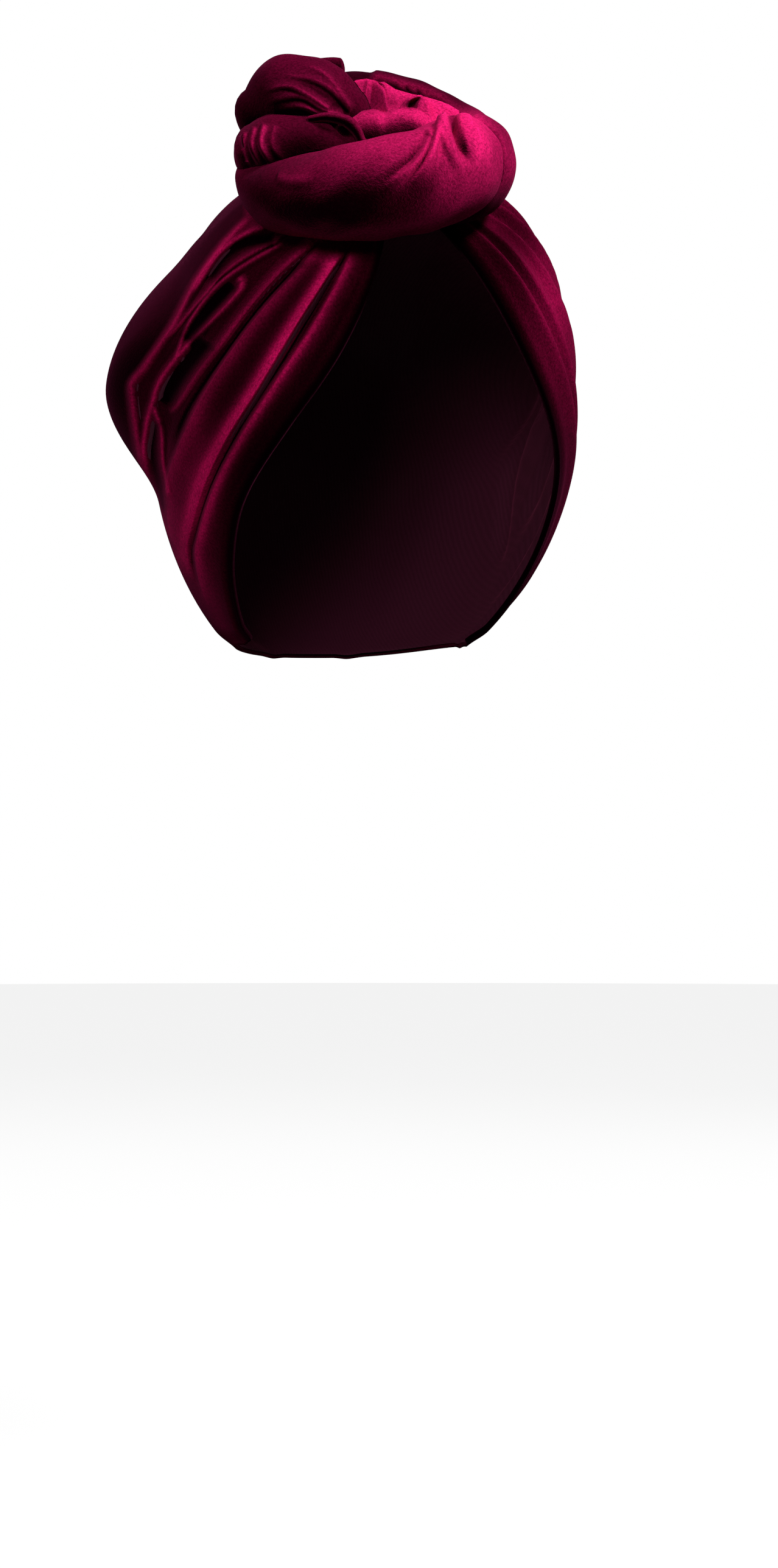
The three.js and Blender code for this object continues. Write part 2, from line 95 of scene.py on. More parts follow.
# Folds on the wearer's right as seen from the front, from the knot's foot down: the rise, the painted
# highlight on the crest (painted shade along the valley where it is below zero), the widths on the left and
# the right hand of that walk, and places along it (across and up from the origin).
VIEW_POINT = np.array([-502.75, -1413.28, -222.55])
VIEW_TURN = math.radians(20.0)
CAP_CREASE_COLUMNS = ("name", "rise", "shine", "left", "right", "places")
CAP_CREASES = [
    ("hood edge", 3.4, 0.7, 3.0, 2.4, [
        (-39.7, -14.1), (-48.7, -23.2), (-59.4, -37.5), (-67.9, -53.6), (-78.6, -69.2), (-83.3, -75.0),
        (-83.7, -79.0), (-82.4, -90.2), (-80.4, -103.6), (-78.1, -112.5),
    ]),
    ("upper tuck", 1.8, 0.8, 2.0, 3.0, [
        (-33.5, -18.1), (-40.2, -20.1), (-47.8, -24.6), (-53.1, -29.9), (-58.0, -37.3), (-61.6, -43.1),
    ]),
    ("double line", 1.8, 0.6, 1.1, 2.0, [
        (-27.7, -22.5), (-40.2, -28.6), (-49.6, -35.3), (-56.7, -43.3), (-64.3, -52.2), (-71.4, -60.1),
    ]),
    ("teardrop back", 2.2, 0.7, 2.2, 1.0, [
        (-27.2, -23.7), (-40.2, -31.0), (-49.1, -37.1), (-55.8, -43.8), (-62.5, -53.6), (-66.1, -62.5),
        (-67.9, -67.9),
    ]),
    ("teardrop front", 2.8, 0.9, 2.6, 2.4, [
        (-44.7, -36.6), (-43.1, -39.7), (-46.9, -45.1), (-56.3, -54.9), (-66.5, -65.6), (-73.2, -74.6),
        (-76.1, -82.8), (-78.4, -91.8), (-79.0, -103.6), (-74.3, -121.9), (-65.9, -137.5),
    ]),
    ("pocket edge", 2.8, 0.6, 1.7, 3.6, [
        (-15.0, -22.8), (-24.6, -30.4), (-33.5, -39.3), (-42.4, -50.0), (-50.0, -60.3), (-59.2, -72.3),
        (-66.5, -83.5), (-69.9, -86.6),
    ]),
    ("edge valley", -1.6, -0.6, 1.6, 1.6, [
        (-19.0, -29.9), (-33.5, -44.4), (-45.8, -60.1), (-60.3, -81.3), (-68.1, -98.0),
    ]),
    ("panel back", 4.0, 0.5, 10.0, 1.5, [
        (-13.8, -24.3), (-24.6, -36.6), (-37.1, -50.9), (-48.2, -66.1), (-57.6, -81.3), (-66.5, -99.6),
        (-70.1, -110.3), (-70.6, -118.6), (-68.8, -131.9), (-64.7, -139.3),
    ]),
    ("temple", 4.0, 1.6, 2.2, 9.0, [
        (-6.0, -27.0), (-15.2, -41.1), (-24.6, -55.8), (-38.0, -77.9), (-49.8, -96.9), (-58.0, -114.8),
        (-62.5, -130.4), (-63.6, -138.6), (-60.7, -149.4),
    ]),
    ("temple valley", -1.6, -0.6, 1.2, 1.2, [
        (-4.2, -26.8), (-16.5, -48.2), (-27.9, -67.2), (-43.5, -91.8), (-54.3, -113.0), (-60.3, -132.6),
        (-61.0, -139.3), (-58.5, -150.5),
    ]),
    ("brow", 3.2, 1.0, 7.0, 1.4, [
        (-2.2, -25.9), (-7.8, -38.2), (-17.9, -56.0), (-29.0, -72.8), (-42.0, -92.9), (-52.0, -111.4),
        (-58.7, -130.8), (-59.8, -142.0), (-54.7, -160.5),
    ]),
    ("jaw", 2.0, 0.8, 2.0, 2.0, [
        (-75.9, -83.9), (-72.8, -92.4), (-72.1, -103.6), (-70.6, -113.0), (-69.9, -118.1),
    ]),
    ("teardrop hollow", -2.4, -0.8, 4.5, 4.5, [
        (-46.0, -39.5), (-52.2, -46.7), (-59.2, -55.6), (-64.1, -61.8),
    ]),
    ("pocket hollow", -2.6, -0.8, 5.0, 6.0, [
        (-54.7, -60.1), (-62.5, -70.1), (-68.1, -77.9), (-71.4, -83.5),
    ]),
    ("upper hollow", -2.0, -0.6, 4.0, 4.0, [
        (-30.8, -23.9), (-40.2, -24.8), (-48.7, -29.9), (-55.8, -40.0),
    ]),
    ("side hollow", -1.8, -0.6, 3.0, 3.0, [
        (-74.6, -89.1), (-75.5, -100.2), (-73.2, -113.6), (-71.0, -124.8),
    ]),
]
CAP_CREASE_FADE = (0.05, 0.14)
CAP_CREASE_SIDE_END = 20.0
KNOT_CREASE_FADE = (0.06, 0.5)
# Painted crest highlights: how narrow they keep to the crest, their strength on the knot, how far they lift
# the side-on colour, and their lowest and highest values.
CREST = {"narrow": 3.0, "shine": 0.34, "open": 0.8, "least": -0.6, "most": 0.8}

# The knot's own frame: x along the brow, y back over the crown, z out along its axis.
KNOT_MIDDLE = np.array([-18.3, -66.7, -1.5])
KNOT_TURN = math.radians(20.0)
KNOT_LEAN = math.radians(37.3)
SIGHT_LEAN = math.radians(28.6)

COIL_COLUMNS = ("turn", "reach", "lift", "wide", "tall", "deep")
FRONT_ROLL_ROWS = [
    (176, 32, -4, 12, 6, 16), (200, 34, -3.5, 16.5, 8, 18), (232, 33.5, 0.5, 17, 12, 17),
    (270, 32.5, 3.5, 17, 17.5, 17.5), (305, 32.5, 4, 17, 18, 17.5), (335, 32, 2.5, 16.5, 17.5, 17),
    (350, 31, 0.5, 13.5, 14, 14),
]
BACK_ROLL_ROWS = [
    (-26, 31, -5, 12, 11, 15), (0, 34, -5, 16, 15.5, 19), (30, 34, -6, 15, 13.5, 20),
    (60, 34, -5.5, 14.5, 13.5, 20), (90, 33, -1.5, 14.5, 13.5, 21), (120, 32, 0, 14, 14, 21),
    (150, 31, 0, 13, 13, 18),
]
COIL_STEPS = 16
# The rounded tips of rolls: turns of their rings in degrees, and their length in half sizes of the end.
TIP_TURNS = (80, 66, 52, 39, 26, 13)
TIP_LENGTH = 0.75
# Slight unevenness, as the waves' size and height.
ROLL_WAVES = (26.0, 0.35)
WAVE_WAYS = ((1, 0.4, 0.2), (-0.3, 1, 0.5), (0.2, -0.6, 1), (0.7, 0.7, -0.5), (-0.8, 0.3, 0.6))
CENTRE_WAVES = (13.0, 0.12)

# Sections of a roll or lobe: the middle, and half sizes across, out and in.
SECTION_COLUMNS = ("x", "y", "z", "wide", "tall", "deep")
TOP_TWIST_ROWS = [
    (-39.5, 14, 5.5, 12, 11.5, 5), (-30, 14.5, 11, 17.5, 17, 7), (-20, 12, 14, 16, 13.5, 9),
    (-10, 8, 11, 10, 9, 7), (-4, 5, 6, 5, 5, 5),
]
LEFT_TWIST_ROWS = [
    (-40, -4, 1, 12, 11, 9), (-33, -5, 4, 15, 12, 9), (-22, -6, 5, 13.5, 11, 9), (-10, -6, 4, 10, 9, 8),
    (-2, -5, 1.5, 6, 6, 6),
]

# Creases on the knot as seen from the front, from where the cloth is gathered to where they run out: rise,
# widths on the left and the right hand of that walk, and places along it (across and up from the knot's
# middle).
FRONT_ROLL_CREASES = [
    (-1.6, 2.4, 2.4, [(19, 6.5), (13, -2), (0, -12.5)]),
    (1.6, 1.8, 2.6, [(20.5, 7.5), (15.2, -3), (3, -16)]),
    (-1.6, 1.4, 2, [(21, 7.5), (17.2, -2.5), (9, -13)]),
    (2.4, 3.4, 1.3, [(22.6, 10.6), (20, 1), (13, -13.5)]),
    (3.2, 3, 3.2, [(24.6, 14.6), (25, 5), (30.5, -7.5)]),
    (-4.4, 2.2, 2.4, [(26.6, 13.6), (29.2, 5.5), (32.6, -5)]),
    (1.6, 7, 4, [(29.5, 14.5), (35.5, 5), (36, -9)]),
    (-0.9, 3, 4, [(33, 12.5), (43, 2), (40, -16)]),
    (0.7, 4, 4, [(-33, -8), (-27, -9.5), (-18, -8)]),
]
TOP_TWIST_CREASES = [
    (0.8, 1.6, 1.4, [(-8, 11.8), (-20, 11.4), (-33, 10.6)]),
    (1.5, 1.4, 2.4, [(-10, 11.6), (-18.6, 13.4), (-26, 15.7), (-36, 14.2)]),
    (1.7, 1.4, 2.6, [(-11, 12.2), (-17.8, 14.8), (-26, 18.9), (-38, 16.6)]),
    (1.6, 1.4, 2.6, [(-15, 14.6), (-21, 18.3), (-24.3, 20.2), (-30.9, 22.4), (-40, 20.4)]),
    (1.1, 1.5, 2.8, [(-7.6, 13.9), (-14.5, 20.8), (-21.9, 24.9), (-34, 27.2)]),
    (0.8, 1.6, 3, [(-7.8, 14.7), (-16.2, 26.3), (-27, 31.6)]),
]
LEFT_TWIST_CREASES = [
    (1.8, 3, 1.6, [(-37.6, 9.8), (-38.6, 2.1), (-33.8, -5.8)]),
    (1.5, 2.4, 1.5, [(-41, 8.6), (-41.8, 2), (-38, -6.6)]),
    (1.4, 2.2, 1.4, [(-44.4, 7), (-44.8, 0.4), (-41.6, -6.4)]),
    (1.1, 1.8, 1.3, [(-46.8, 5.4), (-47.2, 0), (-44.6, -5)]),
    (0.7, 2.6, 1.8, [(-34, 9.6), (-34.8, 2), (-29, -4.5)]),
    (-5, 1.5, 1.8, [(-15, 12), (-11.6, 8.6), (-7.2, 4)]),
    (-0.5, 5, 4.5, [(-17, 9), (-20, 2.5), (-30, -2.5)]),
]
BACK_ROLL_CREASES = [
    (2, 7, 1, [(-2, 26), (18, 20.6), (34, 12.6)]),
    (1, 5, 1.2, [(34, 12.4), (44, 5), (46, -8)]),
]

# The lip of the left twist and a short end of the wrap, as they are seen from the front: across, up, out
# towards the viewer, and half sizes.
STRAND_COLUMNS = ("x", "u", "out", "wide", "tall", "deep")
LIP_STRAND_ROWS = [
    (-22.0, 11.4, 13.0, 1.2, 1.6, 3.0), (-15.5, 12.0, 15.0, 1.9, 2.4, 4.0),
    (-9.8, 10.8, 16.0, 2.0, 2.6, 5.0), (-6.2, 7.8, 16.5, 2.0, 2.6, 5.0), (-4.0, 3.6, 17.0, 1.9, 2.4, 5.0),
]
END_TAB_ROWS = [
    (-19.0, 28.6, -14.0, 4.2, 2.2, 2.2), (-14.5, 29.0, -14.0, 4.3, 2.4, 2.4),
    (-12.0, 29.0, -14.0, 4.1, 2.2, 2.2),
]

# The tucked cloth in the middle of the knot, seen from the front: the top edge of its inner roll, and the
# outlines of three leaves of cloth behind it, the smallest with an open mouth.
INNER_ROLL_EDGE = [
    (-12, 9.5), (-6.2, 13.1), (-3.7, 14.4), (0.6, 14.7), (3.8, 13.7), (7.0, 15.1), (13.0, 15.4),
    (16.2, 14.4), (19.0, 12.4), (21.5, 10.8), (28, 7),
]
INNER_ROLL_RADIUS = 7.5
INNER_ROLL_OUT = 4.0
EAR_LEAF = [
    (-13, 18), (-9.7, 22.7), (-6.2, 25.0), (-2.6, 25.5), (0.6, 24.6), (3.4, 22.0), (4.4, 18.1), (4.6, 10),
    (-13, 9),
]
BROAD_LEAF = [
    (2.0, 24.3), (3.6, 24.5), (5.5, 23.2), (7.7, 21.8), (12.6, 20.4), (19.0, 19.0), (25.0, 17.2),
    (30.5, 14.0), (31.0, 6.0), (3.4, 8.0), (3.5, 14.5), (4.1, 18.0), (3.4, 21.5),
]
SMALL_LEAF = [
    (9.1, 15.5), (11.6, 18.1), (14.8, 19.7), (17.2, 19.5), (19.0, 17.4), (19.9, 13.5), (20.5, 9.0),
    (9.0, 9.0),
]
# The ear leaf rises on both sides of a slanting valley. Its ridge and groove: rise, across, slant, width.
EAR = {"out": -2.5, "foot": 14.0, "drop": 0.45, "left": 0.6, "right": 1.15, "valley": -1.0, "slant": 0.12}
EAR_MIDDLE_UP = 18.0
EAR_LINES = [(0.9, -3.4, 0.2, 0.7), (-0.5, -6.2, -0.3, 0.9)]
# The other leaves are flat: a height out at a place, and how it falls across and up from there.
LEAF_COLUMNS = ("out", "x", "u", "fall_x", "fall_u")
BROAD_PLANE = (2.5, 4, 15, 0.34, 0.85)
SMALL_PLANE = (6.0, 14, 14, 0.3, 0.55)
LEAF_EDGE_RADIUS = {"ear": 1.3, "broad": 1.6, "small": 0.9}
MOUTH = {"depth": 7.0, "start": -0.3, "end": 1.3}
SMALL_MOUTH = [(10.4, 14.0), (12.2, 17.3), (14.6, 18.7), (16.2, 18.6), (15.4, 16.6), (14.2, 14.0)]

# The middle's drawn sheet: its floor, thickness, lower end, grid step and top edge.
CENTRE_FLOOR = -16.0
CENTRE_DEPTH = 14.0
CENTRE_LOW = -4.0
CENTRE_STEP = 0.2
CENTRE_TOP = [
    (-13, 19.5), (-9.7, 22.9), (-6.2, 25.2), (-2.6, 25.7), (0.6, 25.0), (2.0, 24.5), (3.6, 24.6),
    (5.5, 23.4), (7.7, 22.0), (12.6, 20.6), (19.0, 19.2), (25.0, 17.4), (30.0, 14.4),
]

# How the pile lies, as seen from the front: patches (across, up, half sizes) where it is lighter or deeper,
# partly brushed pile and partly painted light and shade.
NAP_AND_SHADE_COLUMNS = ("x", "u", "half_x", "half_u", "change")
# The front roll is darker at its left end and along its lower side and lighter at its right end, partly from
# how its pile lies and partly as painted light and shade.
FRONT_ROLL_NAP_AND_SHADE = [
    (-42, -12, 20, 15, -0.75), (-20, -3, 17, 9, -0.4), (0, -32, 60, 11, -0.35), (36, 8, 13, 12, 0.68),
]
TOP_TWIST_NAP_AND_SHADE = [(-48, 14, 9, 16, -0.1)]
BACK_ROLL_NAP_AND_SHADE = [(50, -6, 9, 18, 0.8), (34, 11, 7, 4, 0.9)]
LEFT_TWIST_NAP_AND_SHADE = [(-23, 3, 10, 8, -0.12), (-41, 0, 8, 8, 0.1)]
# The tucked middle is lighter overall as painted light; its patches darken the small leaf's mouth and parts
# of the ear and broad leaves as painted shade.
CENTRE_BASE_NAP_AND_LIGHT = 1.5
CENTRE_NAP_AND_SHADE = [(12.6, 16.6, 2.8, 1.8, -1.4), (-2, 18.5, 6, 5, -0.8), (6.5, 17, 2.6, 2, -0.7)]
CAP_NAP_AND_SHADE_PATCHES = [
    (-59, -112, 9, 26, 0.5), (-18, -37, 12, 13, -0.18), (-66.5, -92, 4.5, 10, -0.3),
    (56, -22, 16, 13, -0.28), (70, -55, 8, 25, 0.2),
]
# The cap's pile lightness: side is its plain value; back, hood, edge, rim and hollow darken it as painted
# shade; open lifts the side-on colour all over the cap and the patch value lifts it on the light patches as
# painted highlight; inner is for the lining's points.
CAP_NAP_AND_SHADE = {
    "side": 0.4, "back": 0.25, "hood": 0.07, "edge": 0.7, "edge_width": 0.14, "rim": 0.92, "hollow": 0.26,
    "open": 0.15, "patch_highlight": 0.5, "inner": 0.012,
}
LEAST_NAP_AND_SHADE = 0.04
MOST_NAP_AND_SHADE = 1.7
# Where these set in: the rim's painted shade by shares of the way to the front edge, the hood's painted shade
# by distance behind its edge, the change of lean by distance to the left, and the rest by how far the cloth
# is turned to the front, the back's painted shade growing as it turns away.
RIM_SHARES = (0.97, 0.995)
HOOD_START = (0.5, 3.5)
LEAN_CHANGE = (-25.0, 25.0)
SEEN_TURN = (-0.2, 0.15)
HOOD_TURN = (-0.8, 0.1)
BACK_TURN = (0.0, 0.6)
KNOT_SEEN = (-0.15, 0.3)
# The pile's lean, right and up, tilts the normal from which the sheen painted into the base colour is read;
# on the cap it differs by side.
PILE_LEAN = {"cap": (0.65, -0.1), "cap left": (0.05, 0.0), "knot": (0.3, 0.42)}


def rows_as_columns(names, rows):
    """The columns of a table by name."""
    return {name: np.array([row[k] for row in rows], float) for k, name in enumerate(names)}


def smooth_between(value, low, high):
    """0 below low, 1 above high and an even curve between them."""
    t = np.clip((np.asarray(value, float) - low) / (high - low), 0.0, 1.0)
    return t * t * (3.0 - 2.0 * t)


def read_table(columns, by, column, at):
    """Smooth values of one column of a table at places along another."""
    x, y = columns[by], columns[column]
    slope = np.empty_like(y)
    slope[1:-1] = (y[2:] - y[:-2]) / (x[2:] - x[:-2])
    slope[0] = (y[1] - y[0]) / (x[1] - x[0])
    slope[-1] = (y[-1] - y[-2]) / (x[-1] - x[-2])
    at = np.clip(np.asarray(at, float), x[0], x[-1])
    i = np.clip(np.searchsorted(x, at, side="right") - 1, 0, len(x) - 2)
    span = x[i + 1] - x[i]
    t = (at - x[i]) / span
    rest = 1.0 - t
    start = (1 + 2 * t) * rest**2 * y[i] + t * rest**2 * span * slope[i]
    return start + t**2 * (3 - 2 * t) * y[i + 1] - t**2 * rest * span * slope[i + 1]


def fold_profile(offset):
    """Height of a stretched fold across its width: a narrow rounded crest with hollow flanks."""
    rounding, hollow = 0.22, 1.5
    away = np.sqrt(np.minimum(np.abs(offset), 1.0) ** 2 * (1 - rounding**2) + rounding**2)
    return ((1 - away) / (1 - rounding)) ** hollow


def smooth_line(values, at):
    """A smooth curve through rows of values, read at shares of its length, with its slope."""
    values = np.asarray(values, float)
    count = len(values)
    padded = np.vstack([2 * values[0] - values[1], values, 2 * values[-1] - values[-2]])
    slope = (padded[2:] - padded[:-2]) / 2
    place = np.clip(at, 0, 1) * (count - 1)
    i = np.clip(np.floor(place).astype(int), 0, count - 2)
    t = (place - i)[:, None]
    a, b, m, n = values[i], values[i + 1], slope[i], slope[i + 1]
    point = (2 * t**3 - 3 * t**2 + 1) * a + (t**3 - 2 * t**2 + t) * m
    point = point + (3 * t**2 - 2 * t**3) * b + (t**3 - t**2) * n
    run = (6 * t**2 - 6 * t) * (a - b) + (3 * t**2 - 4 * t + 1) * m + (3 * t**2 - 2 * t) * n
    return point, run


def crease_height(crease, fade, narrow, across, up):
    """Height of one crease over a surface as it is seen from the front; narrow above 1 keeps to its crest."""
    rise, left, right, places = crease
    line = smooth_line(places, np.linspace(0, 1, 7 * len(places)))[0]
    reach = max(left, right)
    low, high = line.min(axis=0) - reach, line.max(axis=0) + reach
    near = (across > low[0]) & (across < high[0]) & (up > low[1]) & (up < high[1])
    height = np.zeros(across.shape)
    start, run = line[:-1], np.diff(line, axis=0)
    x, u = across[near][:, None] - start[:, 0], up[near][:, None] - start[:, 1]
    share = np.clip((x * run[:, 0] + u * run[:, 1]) / (run**2).sum(axis=1), 0, 1)
    away = np.hypot(x - share * run[:, 0], u - share * run[:, 1])
    nearest = away.argmin(axis=1)[:, None]
    hand = np.take_along_axis(run[:, 0] * u - run[:, 1] * x, nearest, axis=1)[:, 0]
    along = (nearest[:, 0] + np.take_along_axis(share, nearest, axis=1)[:, 0]) / len(run)
    offset = np.take_along_axis(away, nearest, axis=1)[:, 0] / np.where(hand > 0, left, right)
    ends = smooth_between(along, 0, fade[0]) * smooth_between(1 - along, 0, fade[1])
    height[near] = rise * fold_profile(offset) ** (narrow if rise > 0 else 1) * ends
    return height


def crease_relief(creases, fade, narrow, across, up):
    """Height of all the creases of a piece together."""
    total = np.zeros(across.shape)
    for crease in creases:
        total = total + crease_height(crease, fade, narrow, across, up)
    return total


# The cap

GATHER_MIDDLE = (KNOT_POLE + NAPE_POLE) / 2
GATHER_AXIS = (KNOT_POLE - NAPE_POLE) / np.linalg.norm(KNOT_POLE - NAPE_POLE)
GATHER_SIDE = np.cross([0.0, 1.0, 0.0], GATHER_AXIS)
GATHER_SIDE /= np.linalg.norm(GATHER_SIDE)
GATHER_BACK = np.cross(GATHER_AXIS, GATHER_SIDE)
EDGE = rows_as_columns(EDGE_COLUMNS, EDGE_ROWS)


def head_level(place):
    """How far out of the cap's plain inner form a place lies: below 1 is inside it."""
    x = np.abs(place[..., 0]) / HEAD_HALF_WIDTH
    y = np.abs(place[..., 1]) / np.where(place[..., 1] < 0, HEAD_FRONT, HEAD_BACK)
    high = place[..., 2] - HEAD_MIDDLE_Z
    z = np.abs(high) / np.where(high > 0, HEAD_CROWN, HEAD_NAPE)
    plan = (x**PLAN_ROUNDNESS + y**PLAN_ROUNDNESS) ** (1 / PLAN_ROUNDNESS)
    roundness = np.where(high > 0, CROWN_ROUNDNESS, NAPE_ROUNDNESS)
    return (plan**roundness + z**roundness) ** (1 / roundness)


def head_reach(direction):
    """Distance from the cap's middle to its inner form along each direction."""
    inside = np.zeros(direction.shape[:-1])
    outside = np.full(direction.shape[:-1], 2 * HEAD_NAPE)
    for _ in range(REACH_HALVINGS):
        reach = (inside + outside) / 2
        within = head_level(GATHER_MIDDLE + direction * reach[..., None]) < 1
        inside = np.where(within, reach, inside)
        outside = np.where(within, outside, reach)
    return inside


def gather_direction(around, down):
    """Direction from the cap's middle: around is degrees from the back, down is degrees from the knot."""
    a, b = np.radians(around)[..., None], np.radians(down)[..., None]
    return np.cos(b) * GATHER_AXIS + np.sin(b) * (np.cos(a) * GATHER_BACK + np.sin(a) * GATHER_SIDE)


def fold_rise(fold, across, down):
    """Height of one fold of the cap."""
    t = (down - fold["top"]) / (fold["low"] - fold["top"])
    ends = fold["start"] * (1 - t) * (1 - 2 * t) + fold["end"] * t * (2 * t - 1)
    crest = ends + 4 * fold["middle"] * t * (1 - t)
    to_face = (100 * across - crest) * np.sign(fold["middle"])
    width = np.where(to_face > 0, fold["front"], fold["back"])
    fade = smooth_between(t, 0, FOLD_FADE) * smooth_between(1 - t, 0, FOLD_FADE)
    return fold["rise"] * fold_profile(to_face / width) * fade


def hem_down(across):
    return HEM_BACK - HEM_RISE * across**2


def cap_relief(across, down):
    """How far the cloth stands off the inner form."""
    swell = smooth_between(down, POUCH["top"], POUCH["fullest"])
    swell = swell * (1 - smooth_between(down, POUCH["fullest"], POUCH["foot"]))
    sides = 1 - smooth_between(np.abs(across), POUCH["side_start"], POUCH["side_end"])
    relief = POUCH["depth"] * swell * sides
    hem = hem_down(across)
    calm = 1 - HEM_CALM["share"] * smooth_between(down, hem - HEM_CALM["width"], hem)
    for row in FOLD_ROWS:
        relief = relief + fold_rise(dict(zip(FOLD_COLUMNS, row)), across, down) * calm
    relief = relief - EDGE_TUCK["depth"] * smooth_between(np.abs(across), 1 - EDGE_TUCK["width"], 1)
    return relief - HEM_TUCK["depth"] * smooth_between(down, hem - HEM_TUCK["width"], hem)


def cap_wall(columns, rows):
    """Points of the cap's outer face, row by row from the knot down, and how near each is to a front edge."""
    place = np.interp(np.linspace(0, 1, columns), COLUMN_SHARES, COLUMN_PLACES)
    across, share = np.meshgrid(place, np.linspace(0, 1, rows))
    down = GATHER_TOP + (hem_down(across) - GATHER_TOP) * share
    right, left = read_table(EDGE, "down", "right", down), read_table(EDGE, "down", "left", down)
    direction = gather_direction(across * np.where(across < 0, right, left), down)
    reach = head_reach(direction) + cap_relief(across, down)
    return GATHER_MIDDLE + direction * reach[..., None], across


def grid_faces(columns, rows, wrapped, first=0, turned=False):
    """Four-sided faces of a grid of points, row by row."""
    j, i = np.meshgrid(np.arange(rows - 1), np.arange(columns if wrapped else columns - 1), indexing="ij")
    a = first + j * columns + i
    b = first + j * columns + (i + 1) % columns
    faces = np.stack([a, b, b + columns, a + columns], axis=-1).reshape(-1, 4)
    return (faces[:, ::-1] if turned else faces).tolist()


def border_of(columns, rows):
    """Numbers of the points round a grid, in order."""
    bottom = (rows - 1) * columns
    top_edge = list(range(columns - 1))
    left_edge = [j * columns + columns - 1 for j in range(rows - 1)]
    hem = [bottom + i for i in range(columns - 1, 0, -1)]
    return top_edge + left_edge + hem + [j * columns for j in range(rows - 1, 0, -1)]


def mesh_object(name, points, faces):
    """A smooth-shaded object from points in millimetres."""
    mesh = bpy.data.meshes.new(name)
    mesh.from_pydata((np.asarray(points) * MM).tolist(), [], faces)
    mesh.validate()
    mesh.polygons.foreach_set("use_smooth", [True] * len(mesh.polygons))
    mesh.update()
    made = bpy.data.objects.new(name, mesh)
    bpy.context.scene.collection.objects.link(made)
    return made


CAP_COLUMNS = 421
CAP_ROWS = 173
# Columns of the cap stand closest on the wearer's right, where its narrow folds are seen.
COLUMN_SHARES = (0.0, 0.62, 0.8, 1.0)
COLUMN_PLACES = (-1.0, -0.4, 0.45, 1.0)


VIEW_AHEAD = np.array([math.sin(VIEW_TURN), math.cos(VIEW_TURN), 0.0])
VIEW_RIGHT = np.array([math.cos(VIEW_TURN), -math.sin(VIEW_TURN), 0.0])


def seen_from_front(place):
    """Where places lie across and up as seen from the front, in millimetres from the origin."""
    from_view = place - VIEW_POINT
    nearness = -(VIEW_POINT @ VIEW_AHEAD) / (from_view @ VIEW_AHEAD)
    across = from_view @ VIEW_RIGHT * nearness + VIEW_POINT @ VIEW_RIGHT
    return across, from_view[..., 2] * nearness + VIEW_POINT[2]


def sheet_normals(points):
    """Normals of an open grid of points, away from the cap's middle."""
    normal = np.cross(np.gradient(points, axis=1), np.gradient(points, axis=0))
    normal /= np.linalg.norm(normal, axis=-1, keepdims=True) + 1e-9
    return normal * np.sign((normal * (points - GATHER_MIDDLE)).sum(axis=-1, keepdims=True))


def crease_cap(outer, towards, turned):
    """Raises the folds seen from the front; gives the face, its rises, the painted highlights on its crests
    and painted shade along its valleys, and where it is seen.
    """
    seen = smooth_between(turned, *SEEN_TURN) * (outer[..., 0] < CAP_CREASE_SIDE_END)
    across, up = seen_from_front(outer)
    rise, shine = np.zeros(seen.shape), np.zeros(seen.shape)
    for row in CAP_CREASES:
        crease = dict(zip(CAP_CREASE_COLUMNS, row))
        shape = crease["left"], crease["right"], crease["places"]
        rise += crease_height((crease["rise"], *shape), CAP_CREASE_FADE, 1, across, up) * seen
        shine += crease_height((crease["shine"], *shape), CAP_CREASE_FADE, CREST["narrow"], across, up) * seen
    return outer + towards * rise[..., None], rise, shine, across, up


def lay_cap_nap_and_shade(cap, shares, to_left, turned, rise, shine, across, up):
    """Works out the cap's pile lightness with its painted light and shade; the inner face has none."""
    edge = np.array(CAP_CREASES[0][-1])
    behind = np.interp(-up, -edge[:, 1], edge[:, 0]) - across
    # Painted shade on the hood, and on the back as the cloth turns away from the front.
    hood = smooth_between(behind, *HOOD_START) * smooth_between(turned, *HOOD_TURN)
    plain = CAP_NAP_AND_SHADE["side"] + (CAP_NAP_AND_SHADE["back"] - CAP_NAP_AND_SHADE["side"]) * smooth_between(-turned, *BACK_TURN)
    nap_and_shade = plain + (CAP_NAP_AND_SHADE["hood"] - plain) * hood + np.maximum(shine, 0)
    # Patches of brushed pile and of painted light and shade, then painted shade in the hollows.
    patches = pile_and_shade_patches(CAP_NAP_AND_SHADE_PATCHES, across, up) * smooth_between(turned, *SEEN_TURN)
    nap_and_shade = (nap_and_shade + patches) * (1 + CAP_NAP_AND_SHADE["hollow"] * np.minimum(rise, 0))
    # Painted shade towards the front edge, darker still on its rim.
    nap_and_shade = nap_and_shade * (1 - CAP_NAP_AND_SHADE["edge"] * smooth_between(np.abs(shares), 1 - CAP_NAP_AND_SHADE["edge_width"], 1))
    nap_and_shade = np.maximum(nap_and_shade, LEAST_NAP_AND_SHADE) * (1 - CAP_NAP_AND_SHADE["rim"] * smooth_between(np.abs(shares), *RIM_SHARES))
    lean = np.array(PILE_LEAN["cap"]) * (1 - to_left) + np.array(PILE_LEAN["cap left"]) * to_left
    shine = shine + CAP_NAP_AND_SHADE["open"] + CAP_NAP_AND_SHADE["patch_highlight"] * np.maximum(patches, 0)
    inner = len(cap.data.vertices) - nap_and_shade.size
    nap_and_shade = np.concatenate([nap_and_shade.ravel(), np.full(inner, CAP_NAP_AND_SHADE["inner"])])
    shine = np.concatenate([shine.ravel(), np.zeros(inner)])
    write_nap_and_shade(cap, nap_and_shade, shine, np.vstack([lean.reshape(-1, 2), np.zeros((inner, 2))]))


